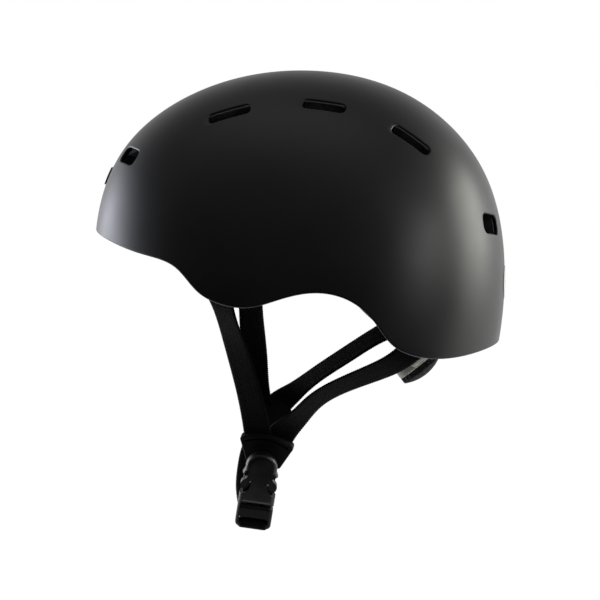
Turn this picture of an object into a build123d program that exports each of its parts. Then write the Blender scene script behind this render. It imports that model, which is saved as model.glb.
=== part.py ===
from build123d import *
import os
from math import cos, pi, radians, sin

# Skateboard helmet, in millimetres, held as it is worn by the crown of the head:
# +X is the wearer's front, +Y the wearer's left, +Z up, and the origin lies on
# the underside of the crown pad, where the head touches it.

# Shell
shell_length = 277.0
shell_width = 216.0
shell_depth = 187.0
shell_wall = 2.4
side_fullness = 2.25
section_angles = (0, 18, 34, 48, 60, 70, 78, 84)

# Foam liner and comfort pads
foam_gap = 0.3
foam_thickness = 22.0
foam_lift = 2.0
channel_width = 15.0
channel_depth = 5.0
channel_spread = 30.0
dot_thickness = 1.2
dot_diameter = 16.0
bond_gap = 0.1
pad_thickness = 6.9
pad_rim_margin = 5.0
brow_pad_height = 34.0
crown_pad_length = 116.0
crown_pad_width = 74.0
side_pad_length = 62.0
side_pad_height = 34.0
rear_pad_height = 30.0
rear_pad_width = 92.0
pad_corner = 12.0

# Vents through the shell and the foam
top_vent_length = 33.0
top_vent_width = 9.5
front_vent_length = 28.0
front_vent_width = 11.0
rear_vent_length = 31.0
rear_vent_width = 15.0
vent_corner = 3.6

# Raised plate at the front and reflective disc at the back
plate_width = 40.0
plate_height = 11.5
plate_rise = 1.2
plate_corner = 2.5
plate_drop = 71.0
disc_diameter = 22.0
disc_rise = 0.5
disc_drop = 142.0

# Webbing
webbing_width = 19.0
webbing_thickness = 1.4
webbing_gap = 0.2
slot_clearance = 1.4
anchor_width = 25.0
anchor_height = 9.0
anchor_thickness = 6.0

# Strap dividers
divider_width = 36.0
divider_height = 24.0
divider_thickness = 6.0
divider_corner = 2.6
divider_edge_round = 0.8
divider_slot_height = 1.2
divider_lip_height = 2.4
divider_lip_rise = 0.9
divider_lip_round = 0.6
divider_lean = 15.7

# Side release buckle
buckle_width = 24.0
buckle_head_width = 21.0
buckle_thickness = 9.4
buckle_round = 3.2
buckle_roll = 9.0
female_length = 37.0
male_length = 17.0
buckle_gap = 0.5
buckle_wall = 1.9
guide_length = 24.0
guide_width = 5.0
prong_length = 20.0
prong_width = 3.6
prong_swell = 2.2
prong_clearance = 0.35
thumb_radius = 7.2
ladder_slot = 4.4
sleeve_start = 17.0
sleeve_length = 6.0
sleeve_depth = 5.0

# Fit system
dial_diameter = 30.0
dial_height = 8.0
dial_angle = 52.0
dial_ribs = 24
dial_rib_radius = 1.3
dial_crown_radius = 30.0
dial_edge_round = 1.6
dial_gap = 0.4
housing_width = 60.0
housing_height = 25.0
housing_corner = 10.0
housing_round = 1.2
housing_thickness = 6.2
cover_thickness = 1.4
nape_pad_thickness = 4.0
nape_pad_margin = 2.0
gear_module = 1.0
pinion_teeth = 8
gear_backlash = 0.25
gear_thickness = 2.6
gear_clearance = 0.35
shaft_diameter = 4.0
rack_height = 5.0
rack_inner_reach = 14.0
rack_outer_reach = 39.0
rack_travel = 9.0
band_width = 12.0
band_thickness = 1.6
stud_diameter = 6.0
stud_head_diameter = 11.0
stud_head_thickness = 1.4
stud_plug_diameter = 9.0
stud_plug_depth = 9.0
stud_standoff = 7.0
eye_diameter = 16.0
running_gap = 0.3
screw_diameter = 2.0
screw_head_diameter = 4.0
screw_head_height = 0.8
screw_length = 4.6
screw_spread = 16.0

overrun = 12.0

half_width = shell_width / 2
crown_height = shell_wall + foam_gap + foam_thickness + dot_thickness + 2 * bond_gap + pad_thickness
foam_outer = shell_wall + foam_gap
foam_inner = foam_outer + foam_thickness
pad_outer = foam_inner + dot_thickness + 2 * bond_gap
pad_inner = pad_outer + pad_thickness

# The centre profile, the bottom rim and the side pole of the shell, as shares of
# its length and of its depth below the crown.
profile_shares = (
    (0.486, 0.969), (0.525, 0.591), (0.457, 0.286), (0.260, 0.067), (0.010, 0.000),
    (-0.240, 0.089), (-0.417, 0.344), (-0.475, 0.693), (-0.437, 1.140),
)
rim_shares = (
    (0.570, 0.551), (0.505, 0.583), (0.367, 0.645), (0.274, 0.690), (0.217, 0.773),
    (0.160, 0.812), (0.097, 0.820), (0.036, 0.796), (-0.054, 0.768), (-0.130, 0.789),
    (-0.195, 0.866), (-0.238, 0.950), (-0.296, 0.992), (-0.375, 1.000),
    (-0.458, 0.978), (-0.513, 0.955),
)
pole_shares = (-0.037, 0.940)

# Vents on the left side: centre in shares of length, half width and depth, then
# the way out of the surface and the way along the slot.
top_vent_shares = (
    ((0.171, 0.563, 0.158), (0.20, 0.70, 0.69), (-0.961, 0.009, 0.275)),
    ((-0.054, 0.559, 0.128), (-0.09, 0.68, 0.73), (-0.991, 0.016, -0.133)),
    ((-0.261, 0.556, 0.243), (-0.45, 0.65, 0.61), (-0.819, -0.030, -0.573)),
)
front_vent_shares = ((0.415, 0.413, 0.307), (0.67, 0.52, 0.53), (-0.686, 0.694, 0.222))
rear_vent_shares = ((-0.444, 0.346, 0.542), (-0.93, 0.32, 0.20), (-0.304, -0.948, -0.098))

# Places on the centre plane, in shares of length and depth: middles of the side and
# rear pads, and for each hook-and-loop dot a start and the way to it.
side_pad_shares = (0.03, 0.46)
rear_pad_shares = (-0.2, 0.50)
brow_start_share = 0.20
badge_start_share = 0.30
channel_length_share = 0.8
dot_shares = (
    ((0.0, 0.3), (0.6, 0, 1)), ((0.0, 0.3), (-0.6, 0, 1)),
    ((0.1, 0.49), (1, 0.55, 0.02)), ((0.1, 0.49), (1, -0.55, 0.02)),
    ((0.03, 0.46), (0, 1, 0)), ((0.03, 0.46), (0, -1, 0)),
    ((-0.2, 0.50), (-1, 0.35, 0)), ((-0.2, 0.50), (-1, -0.35, 0)),
)

# Routes of the webbing, from the foam down, in shares of length, half width and depth,
# and how far a strap's front or upper edge leans outwards at each point of its route.
front_left_shares = (
    (0.184, 0.824, 0.701), (0.179, 0.824, 0.765), (0.173, 0.796, 0.824),
    (0.150, 0.648, 0.979), (0.126, 0.519, 1.144), (0.111, 0.438, 1.273), (0.104, 0.410, 1.329),
)
front_twist_shares = (0, -0.25, -0.60, -0.50, -0.30, -0.12, 0)
rear_left_shares = (
    (-0.310, 0.680, 0.893), (-0.282, 0.695, 0.933), (-0.245, 0.690, 0.976),
    (-0.181, 0.625, 1.040), (-0.108, 0.565, 1.091), (-0.036, 0.509, 1.152),
    (0.014, 0.454, 1.233), (0.047, 0.413, 1.289), (0.063, 0.393, 1.332),
)
front_right_shares = (
    (0.197, -0.824, 0.701), (0.193, -0.819, 0.765), (0.187, -0.792, 0.861),
    (0.177, -0.685, 0.975), (0.166, -0.574, 1.084), (0.156, -0.472, 1.198), (0.148, -0.435, 1.254),
)
rear_right_shares = (
    (-0.303, -0.685, 0.877), (-0.267, -0.705, 0.909), (-0.217, -0.720, 0.940),
    (-0.155, -0.699, 0.981), (-0.068, -0.630, 1.060), (0.014, -0.556, 1.141),
    (0.065, -0.491, 1.198), (0.097, -0.428, 1.237), (0.112, -0.407, 1.265),
)
rear_twist_shares = (0, 0.15, 0.50, 0.95, 1.20, 1.35, 1.05, 0.40, 0)
buckle_strap_shares = (
    (0.095, 0.393, 1.350), (0.097, 0.371, 1.388), (0.099, 0.368, 1.425), (0.102, 0.363, 1.462),
)
chin_strap_shares = (
    (0.120, 0.384, 1.599), (0.124, 0.290, 1.600), (0.134, 0.162, 1.596), (0.148, 0.028, 1.568),
    (0.162, -0.102, 1.519), (0.166, -0.213, 1.457), (0.160, -0.310, 1.398),
    (0.144, -0.384, 1.340), (0.138, -0.406, 1.297),
)
divider_left_shares = (0.087, 0.394, 1.347)
divider_right_shares = (0.132, -0.412, 1.278)
buckle_top_shares = (0.088, 0.487, 1.353)
buckle_axis = Vector(0.1825, -0.2646, -0.947)

# The divider, as shares of its width and height: the arc of its top edge, its foot, the
# slot that the straps fold through and the lip above it.
divider_top_shares = ((0.485, -0.40), (0.06, -0.485), (-0.535, -0.09))
divider_foot_shares = ((-0.24, 0.56), (0.34, 0.56))
divider_slot_shares = ((0.40, -0.26), (0.05, -0.33), (-0.42, -0.02))
divider_lip_shares = ((0.46, -0.33), (0.06, -0.41), (-0.49, -0.03))

# The fit system: its pivot and the dial in shares of length and depth, the bands'
# routes in shares of length, half width and depth, and the way from the eye along them.
stud_shares = (-0.054, 0.695)
dial_shares = (-0.266, 1.063)
band_left_shares = (
    (-0.258, 0.463, 0.968), (-0.221, 0.570, 0.893), (-0.168, 0.656, 0.815),
)
band_way = Vector(-0.912, 0, -0.41)
band_right_shares = (
    (-0.240, 0.463, 0.985), (-0.212, 0.570, 0.898), (-0.165, 0.656, 0.815),
)


def place(shares):
    """A point from its shares of the shell's length, half width and depth."""
    along, aside, down = shares
    return Vector(along * shell_length, aside * half_width, crown_height - down * shell_depth)


def flat_place(shares):
    """A point of the centre plane from its shares of the shell's length and depth."""
    along, down = shares
    return place((along, 0, down))


pole = flat_place(pole_shares)


def dome(inset):
    """The shell's outer form, moved inwards by an inset."""
    knots = [flat_place(shares) for shares in profile_shares]
    moved = []
    for number, knot in enumerate(knots):
        before = knots[max(number - 1, 0)]
        after = knots[min(number + 1, len(knots) - 1)]
        tangent = (after - before).normalized()
        inwards = tangent.cross(Vector(0, 1, 0))
        moved.append(knot + inwards * inset)
    angles = [-angle for angle in reversed(section_angles[1:])] + list(section_angles)
    rings = []
    for angle in angles:
        reach = sin(radians(angle))
        share = (1 - abs(reach) ** side_fullness) ** (1 / side_fullness)
        shift = Vector(0, reach * (half_width - inset), 0)
        points = [pole + (knot - pole) * share + shift for knot in moved]
        rings.append(Wire([Spline(*points), Line(points[-1], points[0])]))
    return Solid.make_loft(rings)


def below_rim(lift):
    """All the space under the bottom rim, with the rim raised by a lift."""
    points = [flat_place(shares) + Vector(0, 0, lift) for shares in rim_shares]
    floor = crown_height - 2 * shell_depth
    front_foot = Vector(points[0].X, 0, floor)
    rear_foot = Vector(points[-1].X, 0, floor)
    edges = [Spline(*points), Line(points[-1], rear_foot), Line(rear_foot, front_foot),
             Line(front_foot, points[0])]
    face = Face(Wire(edges)).translate(Vector(0, -shell_width, 0))
    return Solid.extrude(face, Vector(0, 2 * shell_width, 0))


def rounded_slot(centre, outwards, along, length, width, corner, out_reach, in_reach):
    """A prism through the wall with a rounded rectangular section."""
    plane = Plane(origin=centre, x_dir=along, z_dir=outwards)
    sketch = plane * RectangleRounded(length, width, corner)
    return extrude(sketch, out_reach) + extrude(sketch, -in_reach)


def both_sides(solid):
    return [solid, mirror(solid, Plane.XZ)]


def vent_cutters(growth):
    """One prism for each vent, all ten, grown all round by a margin."""
    sized = [(shares, top_vent_length, top_vent_width) for shares in top_vent_shares]
    sized.append((front_vent_shares, front_vent_length, front_vent_width))
    sized.append((rear_vent_shares, rear_vent_length, rear_vent_width))
    cutters = []
    for (spot, outwards, along), length, width in sized:
        cutter = rounded_slot(
            place(spot), Vector(*outwards), Vector(*along), length + 2 * growth, width + 2 * growth,
            vent_corner + growth, overrun, foam_inner + overrun)
        cutters += both_sides(cutter)
    return cutters


def frames_along(points, ways):
    """A plane at each point of a route, square to it, with its X axis as near its way across as can be."""
    planes = []
    for number, (point, way) in enumerate(zip(points, ways)):
        before = points[max(number - 1, 0)]
        after = points[min(number + 1, len(points) - 1)]
        heading = (after - before).normalized()
        level = (way - heading * way.dot(heading)).normalized()
        planes.append(Plane(origin=point, x_dir=level, z_dir=heading))
    return planes


def webbing(points, ways, growth=0):
    """A strap along its route, or the space that it takes, grown all round."""
    section = Rectangle(webbing_width + 2 * growth, webbing_thickness + 2 * growth)
    return loft([plane * section for plane in frames_along(points, ways)])


front_across = Vector(1, 0, 0)
rear_across = Vector(0.5, 0, 0.87)


def twisted(across, twists, side):
    """The way across a strap at each point of its route."""
    return [across + Vector(0, side * twist, 0) for twist in twists]


def strap_routes():
    """Each webbing strap's points and the way across it at each."""
    tables = {
        "front_strap_left": (front_left_shares, twisted(front_across, front_twist_shares, 1)),
        "rear_strap_left": (rear_left_shares, twisted(rear_across, rear_twist_shares, 1)),
        "front_strap_right": (front_right_shares, twisted(front_across, front_twist_shares, -1)),
        "rear_strap_right": (rear_right_shares, twisted(rear_across, rear_twist_shares, -1)),
        "buckle_strap": (buckle_strap_shares, [front_across] * len(buckle_strap_shares)),
        "chin_strap": (chin_strap_shares, [front_across] * len(chin_strap_shares)),
    }
    return {name: ([place(spot) for spot in shares], ways) for name, (shares, ways) in tables.items()}


def anchor_block(points, ways, growth):
    """The block that holds a strap's upper end in the foam."""
    plane = frames_along(points, ways)[0]
    return plane * Box(anchor_width + 2 * growth, anchor_thickness + 2 * growth, anchor_height + 2 * growth)


def outer_shell():
    body = dome(0) - below_rim(0) - dome(shell_wall)
    for cutter in vent_cutters(0):
        body -= cutter
    return body


def eps_liner(routes):
    body = dome(foam_outer) - below_rim(foam_lift) - dome(foam_inner)
    for cutter in vent_cutters(0):
        body -= cutter
    groove_top = dome(foam_inner - channel_depth)
    for side in (-1, 1):
        slab = Pos(0, side * channel_spread, 0) * Box(
            shell_length * channel_length_share, channel_width, shell_depth)
        body -= groove_top & slab
    for name in ("front_strap_left", "rear_strap_left", "front_strap_right", "rear_strap_right"):
        points, ways = routes[name]
        body -= webbing(points[:4], ways[:4], slot_clearance / 2)
        body -= anchor_block(points, ways, bond_gap)
    for plug in both_sides(stud_plug(bond_gap)):
        body -= plug
    return body


def pad_layer(cutter, outer, inner):
    return (dome(outer) & cutter) - dome(inner)


def brow_pad():
    start = brow_start_share * shell_length
    rim = below_rim(foam_lift + pad_rim_margin)
    upper = below_rim(foam_lift + pad_rim_margin + brow_pad_height)
    band = upper - rim
    front = Pos(start, 0, 0) * Box(shell_length, shell_width, 4 * shell_depth,
                                   align=(Align.MIN, Align.CENTER, Align.CENTER))
    return pad_layer(band & front, pad_outer, pad_inner)


def crown_pad():
    column = extrude(Ellipse(crown_pad_length / 2, crown_pad_width / 2), 2 * crown_height, both=True)
    return pad_layer(column, pad_outer, pad_inner)


def side_pad():
    centre = flat_place(side_pad_shares)
    plane = Plane(origin=centre, x_dir=(1, 0, 0), z_dir=(0, 1, 0))
    block = extrude(plane * RectangleRounded(side_pad_length, side_pad_height, pad_corner), half_width)
    return pad_layer(block, pad_outer, pad_inner)


def rear_pad():
    centre = flat_place(rear_pad_shares)
    plane = Plane(origin=centre, x_dir=(0, 1, 0), z_dir=(-1, 0, 0))
    block = extrude(plane * RectangleRounded(rear_pad_width, rear_pad_height, pad_corner), shell_length / 2)
    return pad_layer(block, pad_outer, pad_inner)


def hook_dots():
    """Hook-and-loop discs between the foam and the pads."""
    dots = []
    layer = dome(foam_inner + bond_gap) - dome(foam_inner + bond_gap + dot_thickness)
    for start_shares, way in dot_shares:
        plane = Plane(origin=flat_place(start_shares), z_dir=way)
        dots += (layer & extrude(plane * Circle(dot_diameter / 2), shell_length)).solids()
    return Compound(dots)


def badge(block, way, rise):
    """What a block cuts from a layer on the shell that rises one way off it."""
    form = dome(0)
    return (block & form.translate(way * rise)) - form.translate(way * bond_gap)


def front_plate():
    centre = Vector(shell_length * badge_start_share, 0, crown_height - plate_drop)
    plane = Plane(origin=centre, x_dir=(0, 1, 0), z_dir=(1, 0, 0))
    block = extrude(plane * RectangleRounded(plate_width, plate_height, plate_corner), shell_length)
    return badge(block, Vector(1, 0, 0), plate_rise)


def rear_disc():
    centre = Vector(-shell_length * badge_start_share, 0, crown_height - disc_drop)
    rod = extrude(Plane(origin=centre, z_dir=(-1, 0, 0)) * Circle(disc_diameter / 2), shell_length)
    return badge(rod, Vector(-1, 0, 0), disc_rise)


# Dividers where the front and rear straps meet

def divider_spots(shares):
    return [(x * divider_width, y * divider_height) for x, y in shares]


def divider_plate(centre_shares):
    """The divider's plate as on the left side, with its lip and the slot below it."""
    along, aside, down = centre_shares
    centre = place((along, abs(aside), down))
    outwards = Vector(0, cos(radians(divider_lean)), -sin(radians(divider_lean)))
    plane = Plane(origin=centre, x_dir=(1, 0, 0), z_dir=outwards)
    top = divider_spots(divider_top_shares)
    foot = divider_spots(divider_foot_shares)
    outline = make_face([ThreePointArc(*top), Polyline(top[-1], *foot, top[0])])
    outline = fillet(outline.vertices(), divider_corner)
    face_height = divider_thickness / 2
    plate = extrude(outline, face_height, both=True)
    plate = fillet(plate.faces().sort_by(Axis.Z)[-1].edges(), divider_edge_round)
    lip_face = face_height + divider_lip_rise
    lip = extrude(trace(ThreePointArc(*divider_spots(divider_lip_shares)), divider_lip_height), lip_face)
    lip = lip & extrude(outline, lip_face)
    long_edges = lip.faces().sort_by(Axis.Z)[-1].edges().sort_by(SortBy.LENGTH)[-2:]
    plate += fillet(long_edges, divider_lip_round)
    slot = trace(ThreePointArc(*divider_spots(divider_slot_shares)), divider_slot_height)
    plate -= extrude(slot, divider_thickness)
    return plane * plate


def strap_divider(side, routes):
    names = ("front_strap_left", "rear_strap_left", "buckle_strap")
    plate = divider_plate(divider_left_shares)
    if side < 0:
        names = ("front_strap_right", "rear_strap_right", "chin_strap")
        plate = mirror(divider_plate(divider_right_shares), Plane.XZ)
    for name in names:
        plate -= webbing(*routes[name], webbing_gap)
    return plate


# Side release buckle, drawn with Y down its length, X across it and Z out of its face

def buckle_frame():
    """The buckle's plane, facing outwards and rolled a little about its length."""
    outwards = Vector(0, 1, 0) - buckle_axis * buckle_axis.Y
    across = buckle_axis.cross(outwards)
    level = Plane(origin=place(buckle_top_shares), x_dir=across, z_dir=outwards)
    return level * Rot(0, -buckle_roll, 0)


cavity_width = buckle_width - 2 * buckle_wall
cavity_thickness = buckle_thickness - 2 * buckle_wall
base_start = female_length + buckle_gap
thumb_centre = base_start - prong_length * 0.75
thumb_spread = (buckle_width - buckle_head_width) / 4


def block(x_low, x_high, y_low, y_high, z_low, z_high):
    return Pos((x_low + x_high) / 2, (y_low + y_high) / 2, (z_low + z_high) / 2) * Box(
        x_high - x_low, y_high - y_low, z_high - z_low)


def buckle_female(routes):
    head = buckle_head_width / 2
    half = buckle_width / 2
    shoulder = head * 1.2
    left = Polyline((-head, head), (-head, shoulder), (-half, shoulder + head * 0.3), (-half, female_length))
    right = Polyline((half, female_length), (half, shoulder + head * 0.3), (head, shoulder), (head, head))
    top = ThreePointArc((head, head), (0, 0), (-head, head))
    foot = Line((-half, female_length), (half, female_length))
    outline = make_face(left.edges() + foot.edges() + right.edges() + top.edges())
    body = extrude(outline, buckle_thickness / 2, both=True)
    rounded = body.faces().sort_by(Axis.Z)
    body = fillet(rounded[-1].edges() + rounded[0].edges(), buckle_round)
    body -= block(-cavity_width / 2, cavity_width / 2, base_start - guide_length - buckle_wall,
                  female_length + overrun, -cavity_thickness / 2, cavity_thickness / 2)
    for side in (-1, 1):
        body -= Pos(side * (half + thumb_spread), thumb_centre, 0) * Cylinder(thumb_radius, 2 * buckle_thickness)
    sleeve = block(-head, head, sleeve_start, sleeve_start + sleeve_length,
                   -buckle_thickness / 2 - sleeve_depth, -cavity_thickness / 2 - buckle_wall * 0.4)
    body += sleeve
    body = buckle_frame() * body
    return body - webbing(*routes["buckle_strap"], webbing_gap)


def buckle_male(routes):
    half = buckle_width / 2
    outline = Pos(0, base_start + male_length / 2) * RectangleRounded(buckle_width, male_length, buckle_round)
    body = extrude(outline, buckle_thickness / 2, both=True)
    rounded = body.faces().sort_by(Axis.Z)
    body = fillet(rounded[-1].edges() + rounded[0].edges(), buckle_round * 0.9)
    guide = guide_width / 2
    rail = cavity_thickness / 2 - prong_clearance
    body += block(-guide, guide, base_start - guide_length, base_start + buckle_wall, -rail, rail)
    slot_end = base_start + male_length - 2 * buckle_wall
    body -= block(-webbing_width / 2 - webbing_gap, webbing_width / 2 + webbing_gap,
                  slot_end - ladder_slot, slot_end, -buckle_thickness, buckle_thickness)
    for side in (-1, 1):
        low, high = sorted((side * (guide + prong_clearance), side * (half - buckle_wall)))
        body -= block(low, high, base_start - buckle_gap, base_start + buckle_wall, -rail, rail)
    body = buckle_frame() * body
    return body - webbing(*routes["chin_strap"], webbing_gap)


def buckle_prong(side):
    """A springy prong: its root in the male part, its pad in the female part's side opening."""
    outer = cavity_width / 2 - prong_clearance
    inner = outer - prong_width
    root = base_start + buckle_wall - prong_clearance
    tip = base_start - prong_length
    half_thick = cavity_thickness / 2 - prong_clearance
    reach = thumb_radius * 0.7
    pad = [(outer, thumb_centre + reach), (outer + prong_swell, thumb_centre), (outer, thumb_centre - reach / 2)]
    shank = [pad[2], (outer - prong_width / 2, tip), (inner, tip), (inner, root), (outer, root), pad[0]]
    body = extrude(make_face([ThreePointArc(*pad), Polyline(*shank)]), half_thick, both=True)
    if side < 0:
        body = mirror(body, Plane.YZ)
    return buckle_frame() * body


# Fit system, drawn with X to the wearer's left, Z out of the dial's face and Y down it

def dial_frame():
    outwards = Vector(-cos(radians(dial_angle)), 0, -sin(radians(dial_angle)))
    return Plane(origin=flat_place(dial_shares), x_dir=(0, 1, 0), z_dir=outwards)


pitch_radius = gear_module * pinion_teeth / 2
root_depth = 1.15 * gear_module
gear_mid = -housing_thickness / 2
gear_roof = gear_mid + gear_thickness / 2 + gear_clearance
gear_floor = gear_mid - gear_thickness / 2 - gear_clearance
rack_root = pitch_radius + root_depth
rack_tip = pitch_radius - gear_module + gear_backlash
rack_line = rack_root + rack_height / 2


def dial_form(radius):
    """The dial without its ribs: a low drum with a crowned face and a rounded edge."""
    top = dial_gap + dial_height
    side = top - dial_crown_radius + (dial_crown_radius ** 2 - radius ** 2) ** 0.5
    crown = RadiusArc((0, top), (radius, side), dial_crown_radius)
    half = make_face([crown, Polyline((radius, side), (radius, 0), (0, 0), (0, top))])
    edge = half.vertices().sort_by_distance((radius, side))[0]
    half = Plane.XZ * fillet(edge, dial_edge_round)
    return revolve(half, Axis.Z)


def fit_dial():
    radius = dial_diameter / 2
    rib_ring = radius - dial_rib_radius * 0.4
    disc = Circle(rib_ring)
    for number in range(dial_ribs):
        angle = 360 * number / dial_ribs
        disc += Rot(0, 0, angle) * Pos(rib_ring, 0) * Circle(dial_rib_radius * 0.5)
    body = Pos(0, 0, dial_gap) * extrude(disc, dial_height)
    return dial_frame() * (body & dial_form(radius))


def gear_outline(teeth, module, shrink):
    pitch = module * teeth / 2
    root = pitch - root_depth
    tip = pitch + module - shrink
    step = 2 * pi / teeth
    points = []
    for number in range(teeth):
        middle = number * step
        for offset_share, radius in ((-0.30, root), (-0.12, tip), (0.12, tip), (0.30, root)):
            angle = middle + offset_share * step
            points.append((radius * cos(angle), radius * sin(angle)))
    return make_face(Polyline(*points, close=True))


def dial_pinion():
    wheel = extrude(gear_outline(pinion_teeth, gear_module, gear_backlash), gear_thickness)
    wheel = Pos(0, 0, gear_mid - gear_thickness / 2) * wheel
    shaft_low = -housing_thickness + running_gap
    shaft = Pos(0, 0, shaft_low) * Cylinder(
        shaft_diameter / 2, dial_gap - shaft_low, align=(Align.CENTER, Align.CENTER, Align.MIN))
    return dial_frame() * (wheel + shaft)


def rack(side):
    """A toothed bar beside the pinion: the left one above it, the right one below."""
    pitch = pi * gear_module
    back = rack_root + rack_height
    count = int((rack_inner_reach * 2 - pitch) / pitch / 2)
    points = [(-rack_inner_reach, back), (-rack_inner_reach, rack_root)]
    for number in range(-count, count + 1):
        middle = (number + 0.5) * pitch
        for offset_share, height in ((-0.29, rack_root), (-0.13, rack_tip), (0.13, rack_tip), (0.29, rack_root)):
            points.append((middle + offset_share * pitch, height))
    points += [(rack_outer_reach, rack_root), (rack_outer_reach, back)]
    face = make_face(Polyline(*[(side * x, -side * y) for x, y in points], close=True))
    bar = Pos(0, 0, gear_mid - gear_thickness / 2) * extrude(face, gear_thickness)
    return dial_frame() * bar


def rack_channels(margin):
    """The space for both racks and the pinion, seen from the dial, less a margin."""
    reach = rack_root + rack_height + gear_clearance - margin
    inner = rack_tip - gear_clearance + margin
    end = rack_inner_reach + rack_travel + gear_clearance - margin
    upper = Pos((housing_width - end) / 2, -(reach + inner) / 2) * Rectangle(housing_width + end, reach - inner)
    well = Circle(pitch_radius + gear_module + gear_clearance - margin)
    return upper + Rot(0, 0, 180) * upper + well


def screw_spots():
    return [Pos(side * screw_spread, 0, 0) for side in (-1, 1)]


def housing_outline(margin):
    return RectangleRounded(
        housing_width - 2 * margin, housing_height - 2 * margin, housing_corner - margin)


def cradle_housing():
    body = extrude(housing_outline(0), -housing_thickness)
    body = fillet(body.faces().sort_by(Axis.Z)[-1].edges(), housing_round)
    depth = housing_thickness + gear_roof
    body -= Pos(0, 0, -housing_thickness) * extrude(rack_channels(0), depth)
    body -= Cylinder(shaft_diameter / 2 + running_gap, 4 * housing_thickness)
    for spot in screw_spots():
        body -= spot * Pos(0, 0, -housing_thickness) * Cylinder(
            screw_diameter / 2 + bond_gap, 2 * (screw_length - cover_thickness + bond_gap))
    return dial_frame() * body


def cradle_cover():
    top = -housing_thickness
    body = Pos(0, 0, top - cover_thickness) * extrude(housing_outline(0), cover_thickness)
    fill = Pos(0, 0, top) * extrude(rack_channels(gear_clearance / 2), housing_thickness + gear_floor)
    body += fill & Pos(0, 0, top) * extrude(housing_outline(gear_clearance), housing_thickness)
    body -= Pos(0, 0, top) * Cylinder(shaft_diameter / 2 + running_gap, 2 * housing_thickness - 2 * bond_gap,
                                      align=(Align.CENTER, Align.CENTER, Align.MIN))
    for spot in screw_spots():
        body -= spot * Pos(0, 0, top) * Cylinder(screw_diameter / 2 + bond_gap, 4 * cover_thickness)
        body -= spot * Pos(0, 0, top - cover_thickness) * Cylinder(
            screw_head_diameter / 2 + bond_gap, 2 * (screw_head_height + bond_gap))
    return dial_frame() * body


def cradle_screws():
    low = -housing_thickness - cover_thickness
    centred = (Align.CENTER, Align.CENTER, Align.MIN)
    screw = Cylinder(screw_head_diameter / 2, screw_head_height, align=centred)
    screw += Cylinder(screw_diameter / 2, screw_length, align=centred)
    return Compound([dial_frame() * spot * Pos(0, 0, low) * screw for spot in screw_spots()])


def nape_pad():
    top = -housing_thickness - cover_thickness - bond_gap
    body = extrude(housing_outline(nape_pad_margin), nape_pad_thickness)
    body = fillet(body.faces().sort_by(Axis.Z)[0].edges(), nape_pad_thickness * 0.4)
    return dial_frame() * Pos(0, 0, top - nape_pad_thickness) * body


def stud_line():
    """How far out the bands' eyes lie."""
    return half_width - foam_inner - stud_standoff


def stud_rod(diameter, start, end):
    """A rod along the left stud's axis, between two distances from the eye's middle."""
    spot = flat_place(stud_shares)
    plane = Plane(origin=Vector(spot.X, stud_line() + start, spot.Z), x_dir=(1, 0, 0), z_dir=(0, 1, 0))
    return extrude(plane * Circle(diameter / 2), end - start)


def stud_plug(growth):
    start = band_thickness / 2 + running_gap
    return stud_rod(stud_plug_diameter + 2 * growth, start, start + stud_plug_depth + growth)


def temple_stud():
    seat = band_thickness / 2 + running_gap
    pin = stud_rod(stud_diameter, -seat, seat)
    return stud_plug(0) + pin + stud_rod(stud_head_diameter, -seat - stud_head_thickness, -seat)


def band(side):
    """The flexible band from a rack's end up to the temple stud."""
    frame = dial_frame()
    start = frame * Pos(side * (rack_outer_reach + running_gap), -side * rack_line, gear_mid)
    first = start.position
    second = first + Vector(0, side * band_width / 2, 0)
    eye = flat_place(stud_shares) + Vector(0, side * stud_line(), 0)
    shares = band_left_shares if side > 0 else band_right_shares
    middle = [place((along, side * aside, down)) for along, aside, down in shares]
    approach = eye + (band_way + Vector(0, -side * 0.1, 0)) * eye_diameter * 1.1
    points = [first, second] + middle + [approach, eye + band_way * eye_diameter * 0.4]
    across = band_way.cross(Vector(0, 1, 0))
    planes = frames_along(points, [across] * len(points))
    for number in (0, 1):
        planes[number] = Plane(origin=points[number], x_dir=frame.y_dir * -1, z_dir=(0, side, 0))
    for number in (-2, -1):
        planes[number] = Plane(origin=points[number], x_dir=across, z_dir=band_way * -1)
    sizes = [(rack_height, gear_thickness)] + [(band_width, band_thickness)] * (len(points) - 1)
    strip = loft([plane * Rectangle(*size) for plane, size in zip(planes, sizes)])
    ring = stud_rod(eye_diameter, -band_thickness / 2, band_thickness / 2)
    ring -= stud_rod(stud_diameter + 2 * running_gap, -band_width, band_width)
    if side < 0:
        ring = mirror(ring, Plane.XZ)
    return strip + ring


def strap_anchor(points, ways):
    return anchor_block(points, ways, 0) - webbing(points, ways, webbing_gap)


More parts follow.
